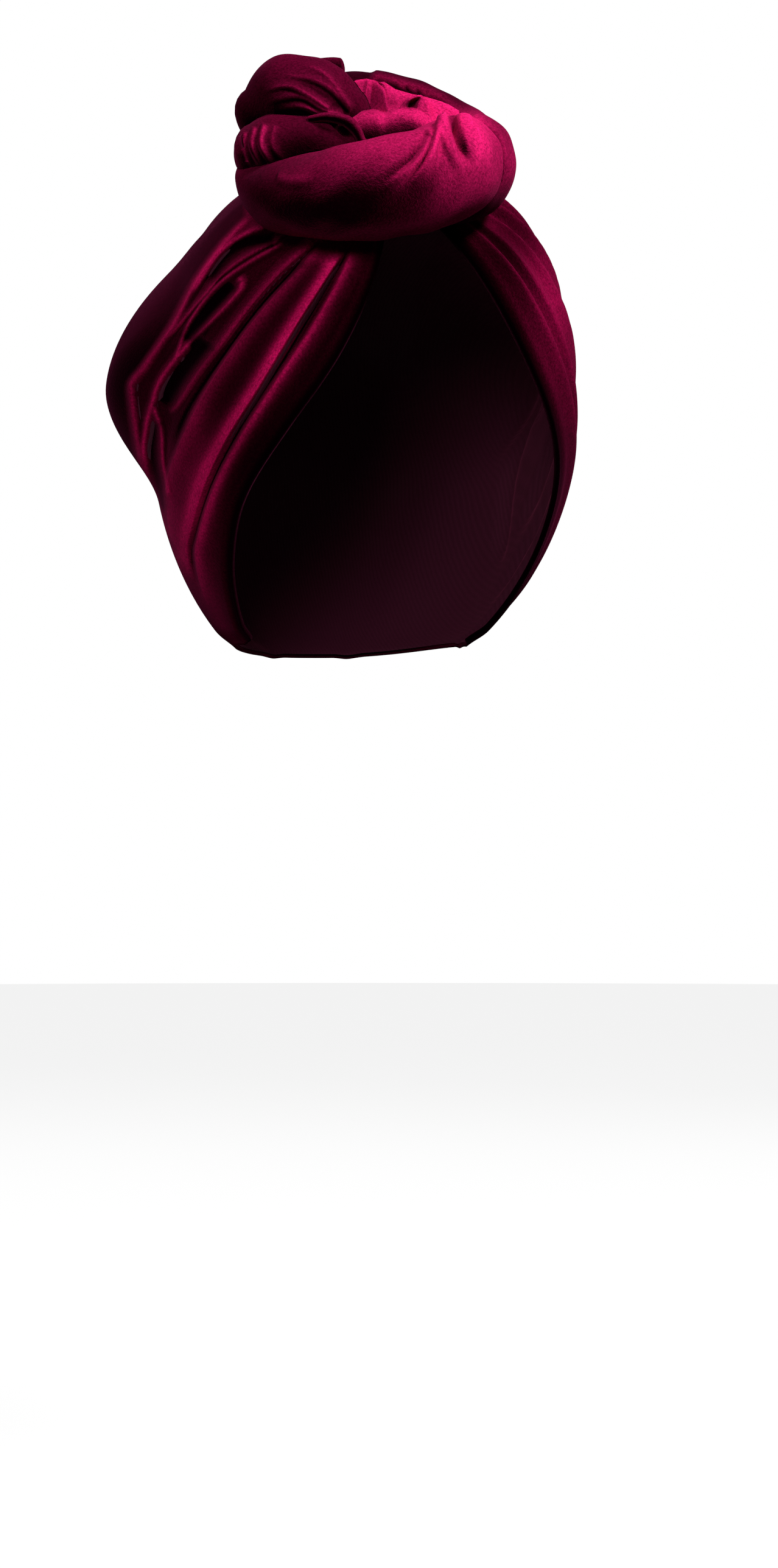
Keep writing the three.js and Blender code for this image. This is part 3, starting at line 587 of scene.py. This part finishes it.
def make_cap():
    """The cap's cloth: a fine outer face, an inner face at half the fineness, joined round the border."""
    inner_columns, inner_rows = CAP_COLUMNS // 2 + 1, CAP_ROWS // 2 + 1
    outer, shares = cap_wall(CAP_COLUMNS, CAP_ROWS)
    away = outer - GATHER_MIDDLE
    away /= np.linalg.norm(away, axis=-1, keepdims=True)
    towards = VIEW_POINT - outer
    towards /= np.linalg.norm(towards, axis=-1, keepdims=True)
    turned = (sheet_normals(outer) * towards).sum(axis=-1)
    outer, rise, shine, across, up = crease_cap(outer, towards, turned)
    inner = (outer - CLOTH_WALL * away)[::2, ::2].reshape(-1, 3)
    faces = grid_faces(CAP_COLUMNS, CAP_ROWS, False)
    outside_faces = len(faces)
    faces += grid_faces(inner_columns, inner_rows, False, shares.size, True)
    fine, coarse = border_of(CAP_COLUMNS, CAP_ROWS), border_of(inner_columns, inner_rows)
    for k, start in enumerate(coarse):
        a, b = (n + shares.size for n in (start, coarse[(k + 1) % len(coarse)]))
        c, d, e = fine[2 * k], fine[2 * k + 1], fine[(2 * k + 2) % len(fine)]
        faces += [[d, c, a], [d, a, b], [e, d, b]]
    cap = mesh_object("velvet_cap", np.vstack([outer.reshape(-1, 3), inner]), faces)
    cap.data.materials.append(cap_velvet)
    cap.data.materials.append(knit_back)
    inside = np.zeros(len(cap.data.polygons), np.int32)
    inside[outside_faces:outside_faces + (inner_columns - 1) * (inner_rows - 1)] = 1
    cap.data.polygons.foreach_set("material_index", inside)
    to_left = smooth_between(outer[..., :1], *LEAN_CHANGE)
    lay_cap_nap_and_shade(cap, shares, to_left, turned, rise, shine, across, up)
    return cap


# The knot

KNOT_RIGHT = np.array([math.cos(KNOT_TURN), -math.sin(KNOT_TURN), 0.0])
KNOT_AHEAD = np.array([-math.sin(KNOT_TURN), -math.cos(KNOT_TURN), 0.0])
KNOT_AXIS = KNOT_AHEAD * math.sin(KNOT_LEAN) + np.array([0.0, 0.0, math.cos(KNOT_LEAN)])
KNOT_BACK = np.cross(KNOT_AXIS, KNOT_RIGHT)
SIGHT_UP = np.array([0.0, math.sin(SIGHT_LEAN), math.cos(SIGHT_LEAN)])
SIGHT_OUT = np.array([0.0, -math.cos(SIGHT_LEAN), math.sin(SIGHT_LEAN)])


def knot_place(local):
    """Places in the part's frame of points in the knot's own frame."""
    placed = KNOT_MIDDLE + local[..., 0:1] * KNOT_RIGHT + local[..., 1:2] * KNOT_BACK
    return placed + local[..., 2:3] * KNOT_AXIS


def coil_sections(rows):
    """Evenly turned sections of a roll of the coil."""
    table = rows_as_columns(COIL_COLUMNS, rows)
    turn = np.linspace(table["turn"][0], table["turn"][-1], COIL_STEPS + 1)
    reach, lift, wide, tall, deep = (read_table(table, "turn", name, turn) for name in COIL_COLUMNS[1:])
    angle = np.radians(turn)
    return np.stack([reach * np.cos(angle), reach * np.sin(angle), lift, wide, tall, deep], axis=1)


def grid_normals(points):
    """Outward normals of a wrapped grid of rings."""
    along = np.gradient(points, axis=0)
    round_it = np.roll(points, -1, axis=1) - np.roll(points, 1, axis=1)
    normal = np.cross(along, round_it)
    normal /= np.linalg.norm(normal, axis=-1, keepdims=True) + 1e-9
    outward = points - points.mean(axis=1, keepdims=True)
    return normal * np.sign((normal * outward).sum())


def soft_waves(place, size, height):
    """Slight unevenness of stuffed cloth, as a few crossing waves."""
    total = np.zeros(place.shape[:-1])
    for k, way in enumerate(WAVE_WAYS):
        total = total + np.sin(place @ np.array(way) * (2 * math.pi / size) * (1 + 0.31 * k) + 1.7 * k)
    return height * total / 3


def strand_sections(rows):
    """Sections of a strand that is given as it is seen from the front."""
    strand = {name: column[:, None] for name, column in rows_as_columns(STRAND_COLUMNS, rows).items()}
    place = strand["x"] * np.array([1.0, 0.0, 0.0]) + strand["u"] * SIGHT_UP + strand["out"] * SIGHT_OUT
    return np.hstack([place, strand["wide"], strand["tall"], strand["deep"]])


def wound_roll(sections, creases, steps, sides, upright, grow):
    """Points and faces of a stuffed roll along its sections, with creases raised on the side that is seen."""
    sections = np.asarray(sections, float)
    ends = rows_as_columns(SECTION_COLUMNS, sections[[0, -1]])
    tip_turns = np.radians(TIP_TURNS)
    share = np.concatenate([np.zeros(len(tip_turns)), np.linspace(0, 1, steps + 1), np.ones(len(tip_turns))])
    value, run = smooth_line(sections, share)
    middle, size = value[:, :3], value[:, 3:]
    along = run[:, :3] / np.linalg.norm(run[:, :3], axis=1, keepdims=True)
    across = np.cross(along, upright)
    across /= np.linalg.norm(across, axis=1, keepdims=True)
    up = np.cross(across, along)
    start_tip, end_tip = TIP_LENGTH * np.minimum(ends["wide"], ends["tall"])
    forward = [-start_tip * np.sin(tip_turns), np.zeros(steps + 1), end_tip * np.sin(tip_turns[::-1])]
    forward = np.concatenate(forward)
    shrink = np.concatenate([np.cos(tip_turns), np.ones(steps + 1), np.cos(tip_turns[::-1])])
    angle = np.linspace(0, 2 * math.pi, sides, endpoint=False)
    wide = size[:, 0:1] * shrink[:, None] * np.cos(angle)
    tall = np.where(np.sin(angle) > 0, size[:, 1:2], size[:, 2:3]) * shrink[:, None] * np.sin(angle)
    middle = middle + along * forward[:, None]
    local = middle[:, None] + wide[..., None] * across[:, None] + tall[..., None] * up[:, None]
    normal = grid_normals(local)
    seen = smooth_between(normal @ SIGHT_OUT, *KNOT_SEEN)
    rise = grow + soft_waves(local, *ROLL_WAVES)
    rise = rise + crease_relief(creases, KNOT_CREASE_FADE, 1, local[..., 0], local @ SIGHT_UP) * seen
    local = local + normal * rise[..., None]
    rings = local.shape[0]
    tips = np.stack([local[0].mean(axis=0), local[-1].mean(axis=0)])
    faces = grid_faces(sides, rings, True, 0, True)
    last = (rings - 1) * sides
    for k in range(sides):
        following = (k + 1) % sides
        faces.append([rings * sides, k, following])
        faces.append([rings * sides + 1, last + following, last + k])
    return knot_place(np.vstack([local.reshape(-1, 3), tips])), faces


def inside_depth(outline, x, u):
    """Distance of places inside a smooth closed outline from its edge, below zero outside it."""
    corners = np.asarray(outline + outline[:1], float)
    line = smooth_line(corners, np.linspace(0, 1, 8 * len(outline) + 1))[0]
    nearest = np.full(x.shape, 1e9)
    within = np.zeros(x.shape, bool)
    for a, b in zip(line[:-1], line[1:]):
        run = b - a
        share = np.clip(((x - a[0]) * run[0] + (u - a[1]) * run[1]) / (run @ run + 1e-12), 0, 1)
        nearest = np.minimum(nearest, np.hypot(x - a[0] - share * run[0], u - a[1] - share * run[1]))
        crosses = (a[1] > u) != (b[1] > u)
        within ^= crosses & (x < a[0] + (u - a[1]) * run[0] / (run[1] if abs(run[1]) > 1e-9 else 1e-9))
    return np.where(within, nearest, -nearest)


def rolled_edge(depth, radius):
    """How far a sheet turns back at its rolled edge."""
    inner = np.clip(radius - depth, 0.0, radius)
    return radius - np.sqrt(radius**2 - inner**2)


def leaf_plane(row, x, u):
    """Height of a flat leaf, out towards the viewer."""
    leaf = dict(zip(LEAF_COLUMNS, row))
    return leaf["out"] - leaf["fall_x"] * (x - leaf["x"]) - leaf["fall_u"] * (u - leaf["u"])


def centre_height(x, u):
    """Height of the tucked cloth in the knot's middle, out towards the viewer."""
    floor = np.full(x.shape, CENTRE_FLOOR)
    from_middle = u - EAR_MIDDLE_UP
    valley = EAR["valley"] + EAR["slant"] * from_middle
    slope = np.where(x < valley, EAR["left"] * (valley - x), EAR["right"] * (x - valley))
    ear = EAR["out"] + slope - EAR["drop"] * (u - EAR["foot"])
    for rise, across, slant, width in EAR_LINES:
        ear = ear + rise * np.exp(-((x - across - slant * from_middle) / width) ** 2)
    broad, small = leaf_plane(BROAD_PLANE, x, u), leaf_plane(SMALL_PLANE, x, u)
    mouth = inside_depth(SMALL_MOUTH, x, u)
    small = small - MOUTH["depth"] * smooth_between(mouth, MOUTH["start"], MOUTH["end"])
    edge = np.array(INNER_ROLL_EDGE)
    top = smooth_line(edge, np.linspace(0, 1, 200))[0]
    top = np.interp(x, top[:, 0], top[:, 1])
    below = np.clip((u - top) / INNER_ROLL_RADIUS + 1, -1, 1)
    roll = INNER_ROLL_OUT + INNER_ROLL_RADIUS * np.sqrt(1 - below**2)
    height = np.where(u < top, np.maximum(roll, floor), floor)
    leaves = (("ear", ear, EAR_LEAF), ("broad", broad, BROAD_LEAF), ("small", small, SMALL_LEAF))
    for name, surface, outline in leaves:
        depth = inside_depth(outline, x, u)
        rolled = surface - rolled_edge(depth, LEAF_EDGE_RADIUS[name])
        height = np.where(depth > 0, np.maximum(height, rolled), height)
    return height


def centre_sheet():
    """Points and faces of the tucked middle: a drawn surface over a plain underside."""
    border_line = np.array(CENTRE_TOP, float)
    left, right = border_line[0][0], border_line[-1][0]
    columns = int((right - left) / CENTRE_STEP) + 1
    rows = int((border_line[:, 1].max() - CENTRE_LOW) / CENTRE_STEP) + 1
    x, share = np.meshgrid(np.linspace(left, right, columns), np.linspace(0, 1, rows))
    u = CENTRE_LOW + share * (np.interp(x, border_line[:, 0], border_line[:, 1]) - CENTRE_LOW)
    out = centre_height(x, u)
    out = out + soft_waves(np.stack([x, u, 0 * x], axis=-1), *CENTRE_WAVES)
    top = x[..., None] * np.array([1.0, 0, 0]) + u[..., None] * SIGHT_UP + out[..., None] * SIGHT_OUT
    under = top - CENTRE_DEPTH * SIGHT_OUT
    faces = grid_faces(columns, rows, False) + grid_faces(columns, rows, False, columns * rows, True)
    border = border_of(columns, rows)
    for k, a in enumerate(border):
        b = border[(k + 1) % len(border)]
        faces.append([b, a, a + columns * rows, b + columns * rows])
    return knot_place(np.vstack([top.reshape(-1, 3), under.reshape(-1, 3)])), faces


def pile_and_shade_patches(patches, across, up):
    """How much lighter or deeper the patches make the pile: partly brushed pile, partly painted light and
    shade.
    """
    total = np.zeros(across.shape)
    for row in patches:
        patch = dict(zip(NAP_AND_SHADE_COLUMNS, row))
        x, u = (across - patch["x"]) / patch["half_x"], (up - patch["u"]) / patch["half_u"]
        total += patch["change"] * np.exp(-(x**2) - u**2)
    return total


def lay_nap_and_shade(piece, creases, base, patches):
    """Works out the pile lightness of a piece of the knot, with its painted light and shade."""
    place = np.empty(len(piece.data.vertices) * 3)
    normal = np.empty_like(place)
    piece.data.vertices.foreach_get("co", place)
    piece.data.vertices.foreach_get("normal", normal)
    to_knot = np.stack([KNOT_RIGHT, KNOT_BACK, KNOT_AXIS], axis=1)
    place = (place.reshape(-1, 3) / MM - KNOT_MIDDLE) @ to_knot
    normal = normal.reshape(-1, 3) @ to_knot
    across, up = place[:, 0], place @ SIGHT_UP
    # Painted highlights on the crests of the creases, painted shade along the sunken ones.
    shine = CREST["shine"] * crease_relief(creases, KNOT_CREASE_FADE, CREST["narrow"], across, up)
    shine = shine * smooth_between(normal @ SIGHT_OUT, *KNOT_SEEN)
    nap_and_shade = np.maximum(base + pile_and_shade_patches(patches, across, up) + np.maximum(shine, 0), LEAST_NAP_AND_SHADE)
    write_nap_and_shade(piece, nap_and_shade, shine, PILE_LEAN["knot"])


def write_nap_and_shade(piece, nap_and_shade, shine, lean):
    """Writes at each point the pile's lightness with its painted light and shade, the painted crest
    highlights and valley shade, and its lean right and up.
    """
    painted_crest_light = np.clip(CREST["open"] * shine, CREST["least"], CREST["most"])
    for name, value in (("nap_and_shade", np.minimum(nap_and_shade, MOST_NAP_AND_SHADE)), ("painted_crest_light", painted_crest_light)):
        piece.data.attributes.new(name, "FLOAT", "POINT").data.foreach_set("value", value.astype(np.float32))
    lean = np.broadcast_to(np.asarray(lean, float), (len(nap_and_shade), 2))
    leaning = lean[:, :1] * KNOT_RIGHT + lean[:, 1:] * np.array([0.0, 0.0, 1.0])
    leans = piece.data.attributes.new("lean", "FLOAT_VECTOR", "POINT")
    leans.data.foreach_set("vector", leaning.ravel().astype(np.float32))


def cut_clear(piece, covers):
    """Takes the space of the pieces lying over a piece out of it."""
    for cover in covers:
        cut = piece.modifiers.new("clear", "BOOLEAN")
        cut.operation = "DIFFERENCE"
        cut.solver = "MANIFOLD"
        cut.object = cover
        bpy.ops.object.select_all(action="DESELECT")
        bpy.context.view_layer.objects.active = piece
        piece.select_set(True)
        bpy.ops.object.modifier_apply(modifier=cut.name)


# Finishes

def shader_node(tree, kind, at, **settings):
    made = tree.nodes.new(kind)
    made.location = at
    for name, value in settings.items():
        setattr(made, name, value)
    return made


def map_range(tree, at, start, end, **settings):
    """A node that carries values from one range to another."""
    made = shader_node(tree, "ShaderNodeMapRange", at, **settings)
    for name, value in zip(("From Min", "From Max", "To Min", "To Max"), (*start, *end)):
        made.inputs[name].default_value = value
    return made


def new_finish(name):
    """A material, its node tree and its shader."""
    made = bpy.data.materials.new(name)
    made.use_nodes = True
    return made, made.node_tree, made.node_tree.nodes["Principled BSDF"]


def make_nap_and_shade_group():
    """Velvet pile: light and deep brushed patches, flecks of single tufts, and their grain as a height; the
    colours are scaled by the points' pile lightness, which holds painted light and shade.
    """
    group = bpy.data.node_groups.new("velvet_nap_and_shade", "ShaderNodeTree")
    for name, kind in (("Deep", "NodeSocketColor"), ("Bright", "NodeSocketColor"), ("Nap and shade", "NodeSocketFloat"),
                       ("Patch scale", "NodeSocketFloat"), ("Tuft scale", "NodeSocketFloat")):
        group.interface.new_socket(name, in_out="INPUT", socket_type=kind)
    for name, kind in (("Head on", "NodeSocketColor"), ("Side on", "NodeSocketColor"),
                       ("Roughness", "NodeSocketFloat"), ("Height", "NodeSocketFloat")):
        group.interface.new_socket(name, in_out="OUTPUT", socket_type=kind)
    start = shader_node(group, "NodeGroupInput", (-900, 0))
    end = shader_node(group, "NodeGroupOutput", (700, 0))
    place = shader_node(group, "ShaderNodeTexCoord", (-900, -260))
    patch = shader_node(group, "ShaderNodeTexNoise", (-600, 200))
    patch.inputs["Detail"].default_value = 5.0
    patch.inputs["Roughness"].default_value = 0.6
    tuft = shader_node(group, "ShaderNodeTexNoise", (-600, -200))
    tuft.inputs["Detail"].default_value = 3.0
    tuft.inputs["Roughness"].default_value = 0.7
    for noise, scale in ((patch, "Patch scale"), (tuft, "Tuft scale")):
        group.links.new(place.outputs["Object"], noise.inputs["Vector"])
        group.links.new(start.outputs[scale], noise.inputs["Scale"])
    shade = map_range(group, (-300, 200), (0.3, 0.7), (0.72, 1.12))
    group.links.new(patch.outputs["Fac"], shade.inputs["Value"])
    fleck = map_range(group, (-300, -120), (0.28, 0.72), (0.5, 1.6))
    group.links.new(tuft.outputs["Fac"], fleck.inputs["Value"])
    both = shader_node(group, "ShaderNodeMath", (-60, 60), operation="MULTIPLY")
    group.links.new(shade.outputs["Result"], both.inputs[0])
    group.links.new(fleck.outputs["Result"], both.inputs[1])
    toned_nap_and_shade = shader_node(group, "ShaderNodeMath", (80, 60), operation="MULTIPLY")
    group.links.new(both.outputs["Value"], toned_nap_and_shade.inputs[0])
    group.links.new(start.outputs["Nap and shade"], toned_nap_and_shade.inputs[1])
    for k, (source, result) in enumerate((("Deep", "Head on"), ("Bright", "Side on"))):
        tint = shader_node(group, "ShaderNodeVectorMath", (200, 200 - 200 * k), operation="SCALE")
        group.links.new(start.outputs[source], tint.inputs["Vector"])
        group.links.new(toned_nap_and_shade.outputs["Value"], tint.inputs["Scale"])
        group.links.new(tint.outputs["Vector"], end.inputs[result])
    rough = map_range(group, (200, -240), (0.0, 1.0), (0.78, 0.98))
    group.links.new(tuft.outputs["Fac"], rough.inputs["Value"])
    group.links.new(rough.outputs["Result"], end.inputs["Roughness"])
    group.links.new(tuft.outputs["Fac"], end.inputs["Height"])
    return group


def velvet(name, deep, bright, sheen):
    """Short-pile velvet: deep and dull seen head on, with the pile's sheen painted into the base colour where
    the tufts are seen from the side.
    """
    made, tree, surface = new_finish(name)
    nap_and_shade = shader_node(tree, "ShaderNodeGroup", (-900, 100), node_tree=nap_and_shade_group)
    nap_and_shade.inputs["Deep"].default_value = (*deep, 1)
    nap_and_shade.inputs["Bright"].default_value = (*bright, 1)
    nap_and_shade.inputs["Patch scale"].default_value = 34.0
    nap_and_shade.inputs["Tuft scale"].default_value = 1100.0
    # The pile lightness with its painted light and shade.
    nap_and_shade_reader = shader_node(tree, "ShaderNodeAttribute", (-1150, 0), attribute_name="nap_and_shade")
    tree.links.new(nap_and_shade_reader.outputs["Fac"], nap_and_shade.inputs["Nap and shade"])
    # Painted sheen: the base colour turns from the head-on colour to the bright side-on colour as the leaning
    # normal turns away from the view.
    facing = shader_node(tree, "ShaderNodeLayerWeight", (-900, 380))
    facing.inputs["Blend"].default_value = 0.5
    side = map_range(tree, (-650, 380), (0.06, 0.62), (0.0, 1.0), interpolation_type="SMOOTHSTEP")
    pile = shader_node(tree, "ShaderNodeMix", (-350, 200), data_type="RGBA")
    bump = shader_node(tree, "ShaderNodeBump", (-350, -260))
    bump.inputs["Strength"].default_value = 0.4
    bump.inputs["Distance"].default_value = 0.0005
    lean = shader_node(tree, "ShaderNodeAttribute", (-1500, 420), attribute_name="lean")
    leaning = shader_node(tree, "ShaderNodeVectorMath", (-1300, 420), operation="ADD")
    level = shader_node(tree, "ShaderNodeVectorMath", (-1100, 420), operation="NORMALIZE")
    tree.links.new(bump.outputs["Normal"], leaning.inputs[0])
    tree.links.new(lean.outputs["Vector"], leaning.inputs[1])
    tree.links.new(leaning.outputs["Vector"], level.inputs[0])
    tree.links.new(level.outputs["Vector"], facing.inputs["Normal"])
    tree.links.new(facing.outputs["Facing"], side.inputs["Value"])
    # Painted crest highlights and valley shade push the mix further towards the side-on colour or back.
    painted_crest_light = shader_node(tree, "ShaderNodeAttribute", (-900, 600), attribute_name="painted_crest_light")
    sheen_and_crest_light = shader_node(tree, "ShaderNodeMath", (-500, 480), operation="ADD", use_clamp=True)
    tree.links.new(side.outputs["Result"], sheen_and_crest_light.inputs[0])
    tree.links.new(painted_crest_light.outputs["Fac"], sheen_and_crest_light.inputs[1])
    tree.links.new(sheen_and_crest_light.outputs["Value"], pile.inputs["Factor"])
    tree.links.new(nap_and_shade.outputs["Head on"], pile.inputs["A"])
    tree.links.new(nap_and_shade.outputs["Side on"], pile.inputs["B"])
    tree.links.new(pile.outputs["Result"], surface.inputs["Base Color"])
    tree.links.new(nap_and_shade.outputs["Roughness"], surface.inputs["Roughness"])
    tree.links.new(nap_and_shade.outputs["Height"], bump.inputs["Height"])
    tree.links.new(bump.outputs["Normal"], surface.inputs["Normal"])
    surface.inputs["Specular IOR Level"].default_value = 0.0
    surface.inputs["Sheen Weight"].default_value = 0.08
    surface.inputs["Sheen Roughness"].default_value = 0.4
    surface.inputs["Sheen Tint"].default_value = (*sheen, 1)
    return made


def knitted_back(name, colour, loop):
    """The dull knitted back of the velvet, which lines the cap."""
    made, tree, surface = new_finish(name)
    place = shader_node(tree, "ShaderNodeTexCoord", (-1100, 0))
    wales = shader_node(tree, "ShaderNodeTexWave", (-800, 100), bands_direction="X")
    wales.inputs["Scale"].default_value = 260.0
    wales.inputs["Distortion"].default_value = 1.5
    fuzz = shader_node(tree, "ShaderNodeTexNoise", (-800, -200))
    fuzz.inputs["Scale"].default_value = 1200.0
    tree.links.new(place.outputs["Object"], wales.inputs["Vector"])
    tree.links.new(place.outputs["Object"], fuzz.inputs["Vector"])
    blend = shader_node(tree, "ShaderNodeMix", (-450, 120), data_type="RGBA")
    blend.inputs["A"].default_value = (*colour, 1)
    blend.inputs["B"].default_value = (*loop, 1)
    tree.links.new(wales.outputs["Fac"], blend.inputs["Factor"])
    tree.links.new(blend.outputs["Result"], surface.inputs["Base Color"])
    high = shader_node(tree, "ShaderNodeMath", (-450, -160), operation="MULTIPLY_ADD")
    high.inputs[1].default_value = 0.5
    tree.links.new(fuzz.outputs["Fac"], high.inputs[0])
    tree.links.new(wales.outputs["Fac"], high.inputs[2])
    bump = shader_node(tree, "ShaderNodeBump", (-220, -220))
    bump.inputs["Strength"].default_value = 0.35
    bump.inputs["Distance"].default_value = 0.0003
    tree.links.new(high.outputs["Value"], bump.inputs["Height"])
    tree.links.new(bump.outputs["Normal"], surface.inputs["Normal"])
    surface.inputs["Roughness"].default_value = 0.9
    surface.inputs["Specular IOR Level"].default_value = 0.1
    surface.inputs["Sheen Weight"].default_value = 0.2
    surface.inputs["Sheen Tint"].default_value = (0.5, 0.06, 0.16, 1)
    return made


nap_and_shade_group = make_nap_and_shade_group()
cap_velvet = velvet("cap_velvet", (0.006, 0.0002, 0.0012), (0.5, 0.005, 0.086), (0.9, 0.12, 0.36))
knot_velvet = velvet("knot_velvet", (0.007, 0.0002, 0.0014), (0.46, 0.007, 0.086), (0.9, 0.12, 0.36))
knit_back = knitted_back("knit_back", (0.05, 0.006, 0.018), (0.06, 0.007, 0.022))


def make_knot():
    """The wound pieces of the knot, the outermost first, each cut clear of those that lie over it."""
    on_axis = np.array([0.0, 0.0, 1.0])
    lip, tab = strand_sections(LIP_STRAND_ROWS), strand_sections(END_TAB_ROWS)
    # Each piece: names, sections, creases, steps along and round, upright, its pile lightness (lower on the
    # darker pieces as painted shade) and its patches.
    builds = [
        ("front_roll", "front_roll", coil_sections(FRONT_ROLL_ROWS), FRONT_ROLL_CREASES, 260, 150, on_axis,
         0.92, FRONT_ROLL_NAP_AND_SHADE),
        ("top_twist", "top_twist", TOP_TWIST_ROWS, TOP_TWIST_CREASES, 180, 200, on_axis, 0.2, TOP_TWIST_NAP_AND_SHADE),
        ("lip_strand", "left_twist", lip, [], 60, 32, SIGHT_OUT, 0.4, []),
        ("end_tab", "back_roll", tab, [], 40, 32, SIGHT_OUT, 0.2, []),
        ("back_roll", "back_roll", coil_sections(BACK_ROLL_ROWS), BACK_ROLL_CREASES, 170, 110, on_axis,
         0.05, BACK_ROLL_NAP_AND_SHADE),
        ("left_twist", "left_twist", LEFT_TWIST_ROWS, LEFT_TWIST_CREASES, 180, 150, on_axis,
         0.22, LEFT_TWIST_NAP_AND_SHADE),
    ]
    made, covers = [], []
    for name, node, sections, creases, steps, sides, upright, nap_and_shade, patches in builds:
        points, faces = wound_roll(sections, creases, steps, sides, upright, 0.0)
        piece = mesh_object("velvet_" + name, points, faces)
        piece.data.materials.append(knot_velvet)
        cut_clear(piece, covers)
        lay_nap_and_shade(piece, creases, nap_and_shade, patches)
        points, faces = wound_roll(sections, creases, steps, sides, upright, SEAT_GAP)
        covers.append(mesh_object("cover_" + name, points, faces))
        covers[-1].data.materials.append(knot_velvet)
        made.append((piece, "knot_" + node))
    piece = mesh_object("velvet_centre_tuck", *centre_sheet())
    piece.data.materials.append(knot_velvet)
    cut_clear(piece, covers)
    lay_nap_and_shade(piece, [], CENTRE_BASE_NAP_AND_LIGHT, CENTRE_NAP_AND_SHADE)
    made.append((piece, "knot_centre_tuck"))
    for cover in covers:
        bpy.data.objects.remove(cover)
    return made


cap = make_cap()
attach(cap, "root")
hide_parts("cap")

for piece, node in make_knot():
    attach(piece, "root")
    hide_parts(node)


# Stage

def make_floor():
    bpy.ops.mesh.primitive_circle_add(vertices=96, radius=4.0, fill_type="NGON", location=(0, 0, -0.49))
    floor = bpy.context.object
    floor.name = "floor"
    paint, _, surface = new_finish("pale_floor")
    surface.inputs["Base Color"].default_value = (0.14, 0.14, 0.14, 1)
    surface.inputs["Roughness"].default_value = 0.9
    surface.inputs["Specular IOR Level"].default_value = 0.0
    surface.inputs["Emission Color"].default_value = (1, 1, 1, 1)
    surface.inputs["Emission Strength"].default_value = 0.88
    floor.data.materials.append(paint)
    floor.visible_diffuse = False


def make_lamp(name, place, aim, size, power):
    lamp = bpy.data.lights.new(name, "AREA")
    lamp.energy = power
    lamp.size = size
    made = bpy.data.objects.new(name, lamp)
    bpy.context.scene.collection.objects.link(made)
    made.location = place
    direction = np.array(aim, float) - np.array(place, float)
    made.rotation_euler = Vector(direction).to_track_quat("-Z", "Y").to_euler()
    return made


def make_studio():
    world = bpy.data.worlds.new("studio")
    bpy.context.scene.world = world
    bpy.context.scene.view_settings.view_transform = "Standard"
    world.use_nodes = True
    tree = world.node_tree
    soft = tree.nodes["Background"]
    soft.inputs["Color"].default_value = (1, 1, 1, 1)
    soft.inputs["Strength"].default_value = 0.04
    white = shader_node(tree, "ShaderNodeBackground", (0, -160))
    white.inputs["Color"].default_value = (1, 1, 1, 1)
    white.inputs["Strength"].default_value = 1.0
    rays = shader_node(tree, "ShaderNodeLightPath", (-200, 200))
    choose = shader_node(tree, "ShaderNodeMixShader", (220, 0))
    tree.links.new(rays.outputs["Is Camera Ray"], choose.inputs["Fac"])
    tree.links.new(soft.outputs["Background"], choose.inputs[1])
    tree.links.new(white.outputs["Background"], choose.inputs[2])
    tree.links.new(choose.outputs["Shader"], tree.nodes["World Output"].inputs["Surface"])
    make_lamp("key", (0.55, -0.9, 1.0), (0.0, -0.02, -0.05), 0.4, 20.0)
    make_lamp("front", (-0.75, -1.35, 0.35), (0.0, -0.02, -0.08), 0.5, 10.0)
    make_lamp("back", (-0.25, 1.5, 0.9), (0.0, 0.0, -0.05), 0.8, 12.0)
    make_lamp("back_left", (1.1, 1.1, 0.6), (0.0, 0.0, -0.05), 0.8, 9.0)


def make_camera():
    lens = bpy.data.cameras.new("camera")
    lens.lens = 93.9
    lens.sensor_width = 36.0
    made = bpy.data.objects.new("camera", lens)
    bpy.context.scene.collection.objects.link(made)
    made.location = (VIEW_POINT * MM).tolist()
    made.rotation_euler = (math.radians(90), 0, -VIEW_TURN)
    bpy.context.scene.camera = made


make_floor()
make_studio()
make_camera()
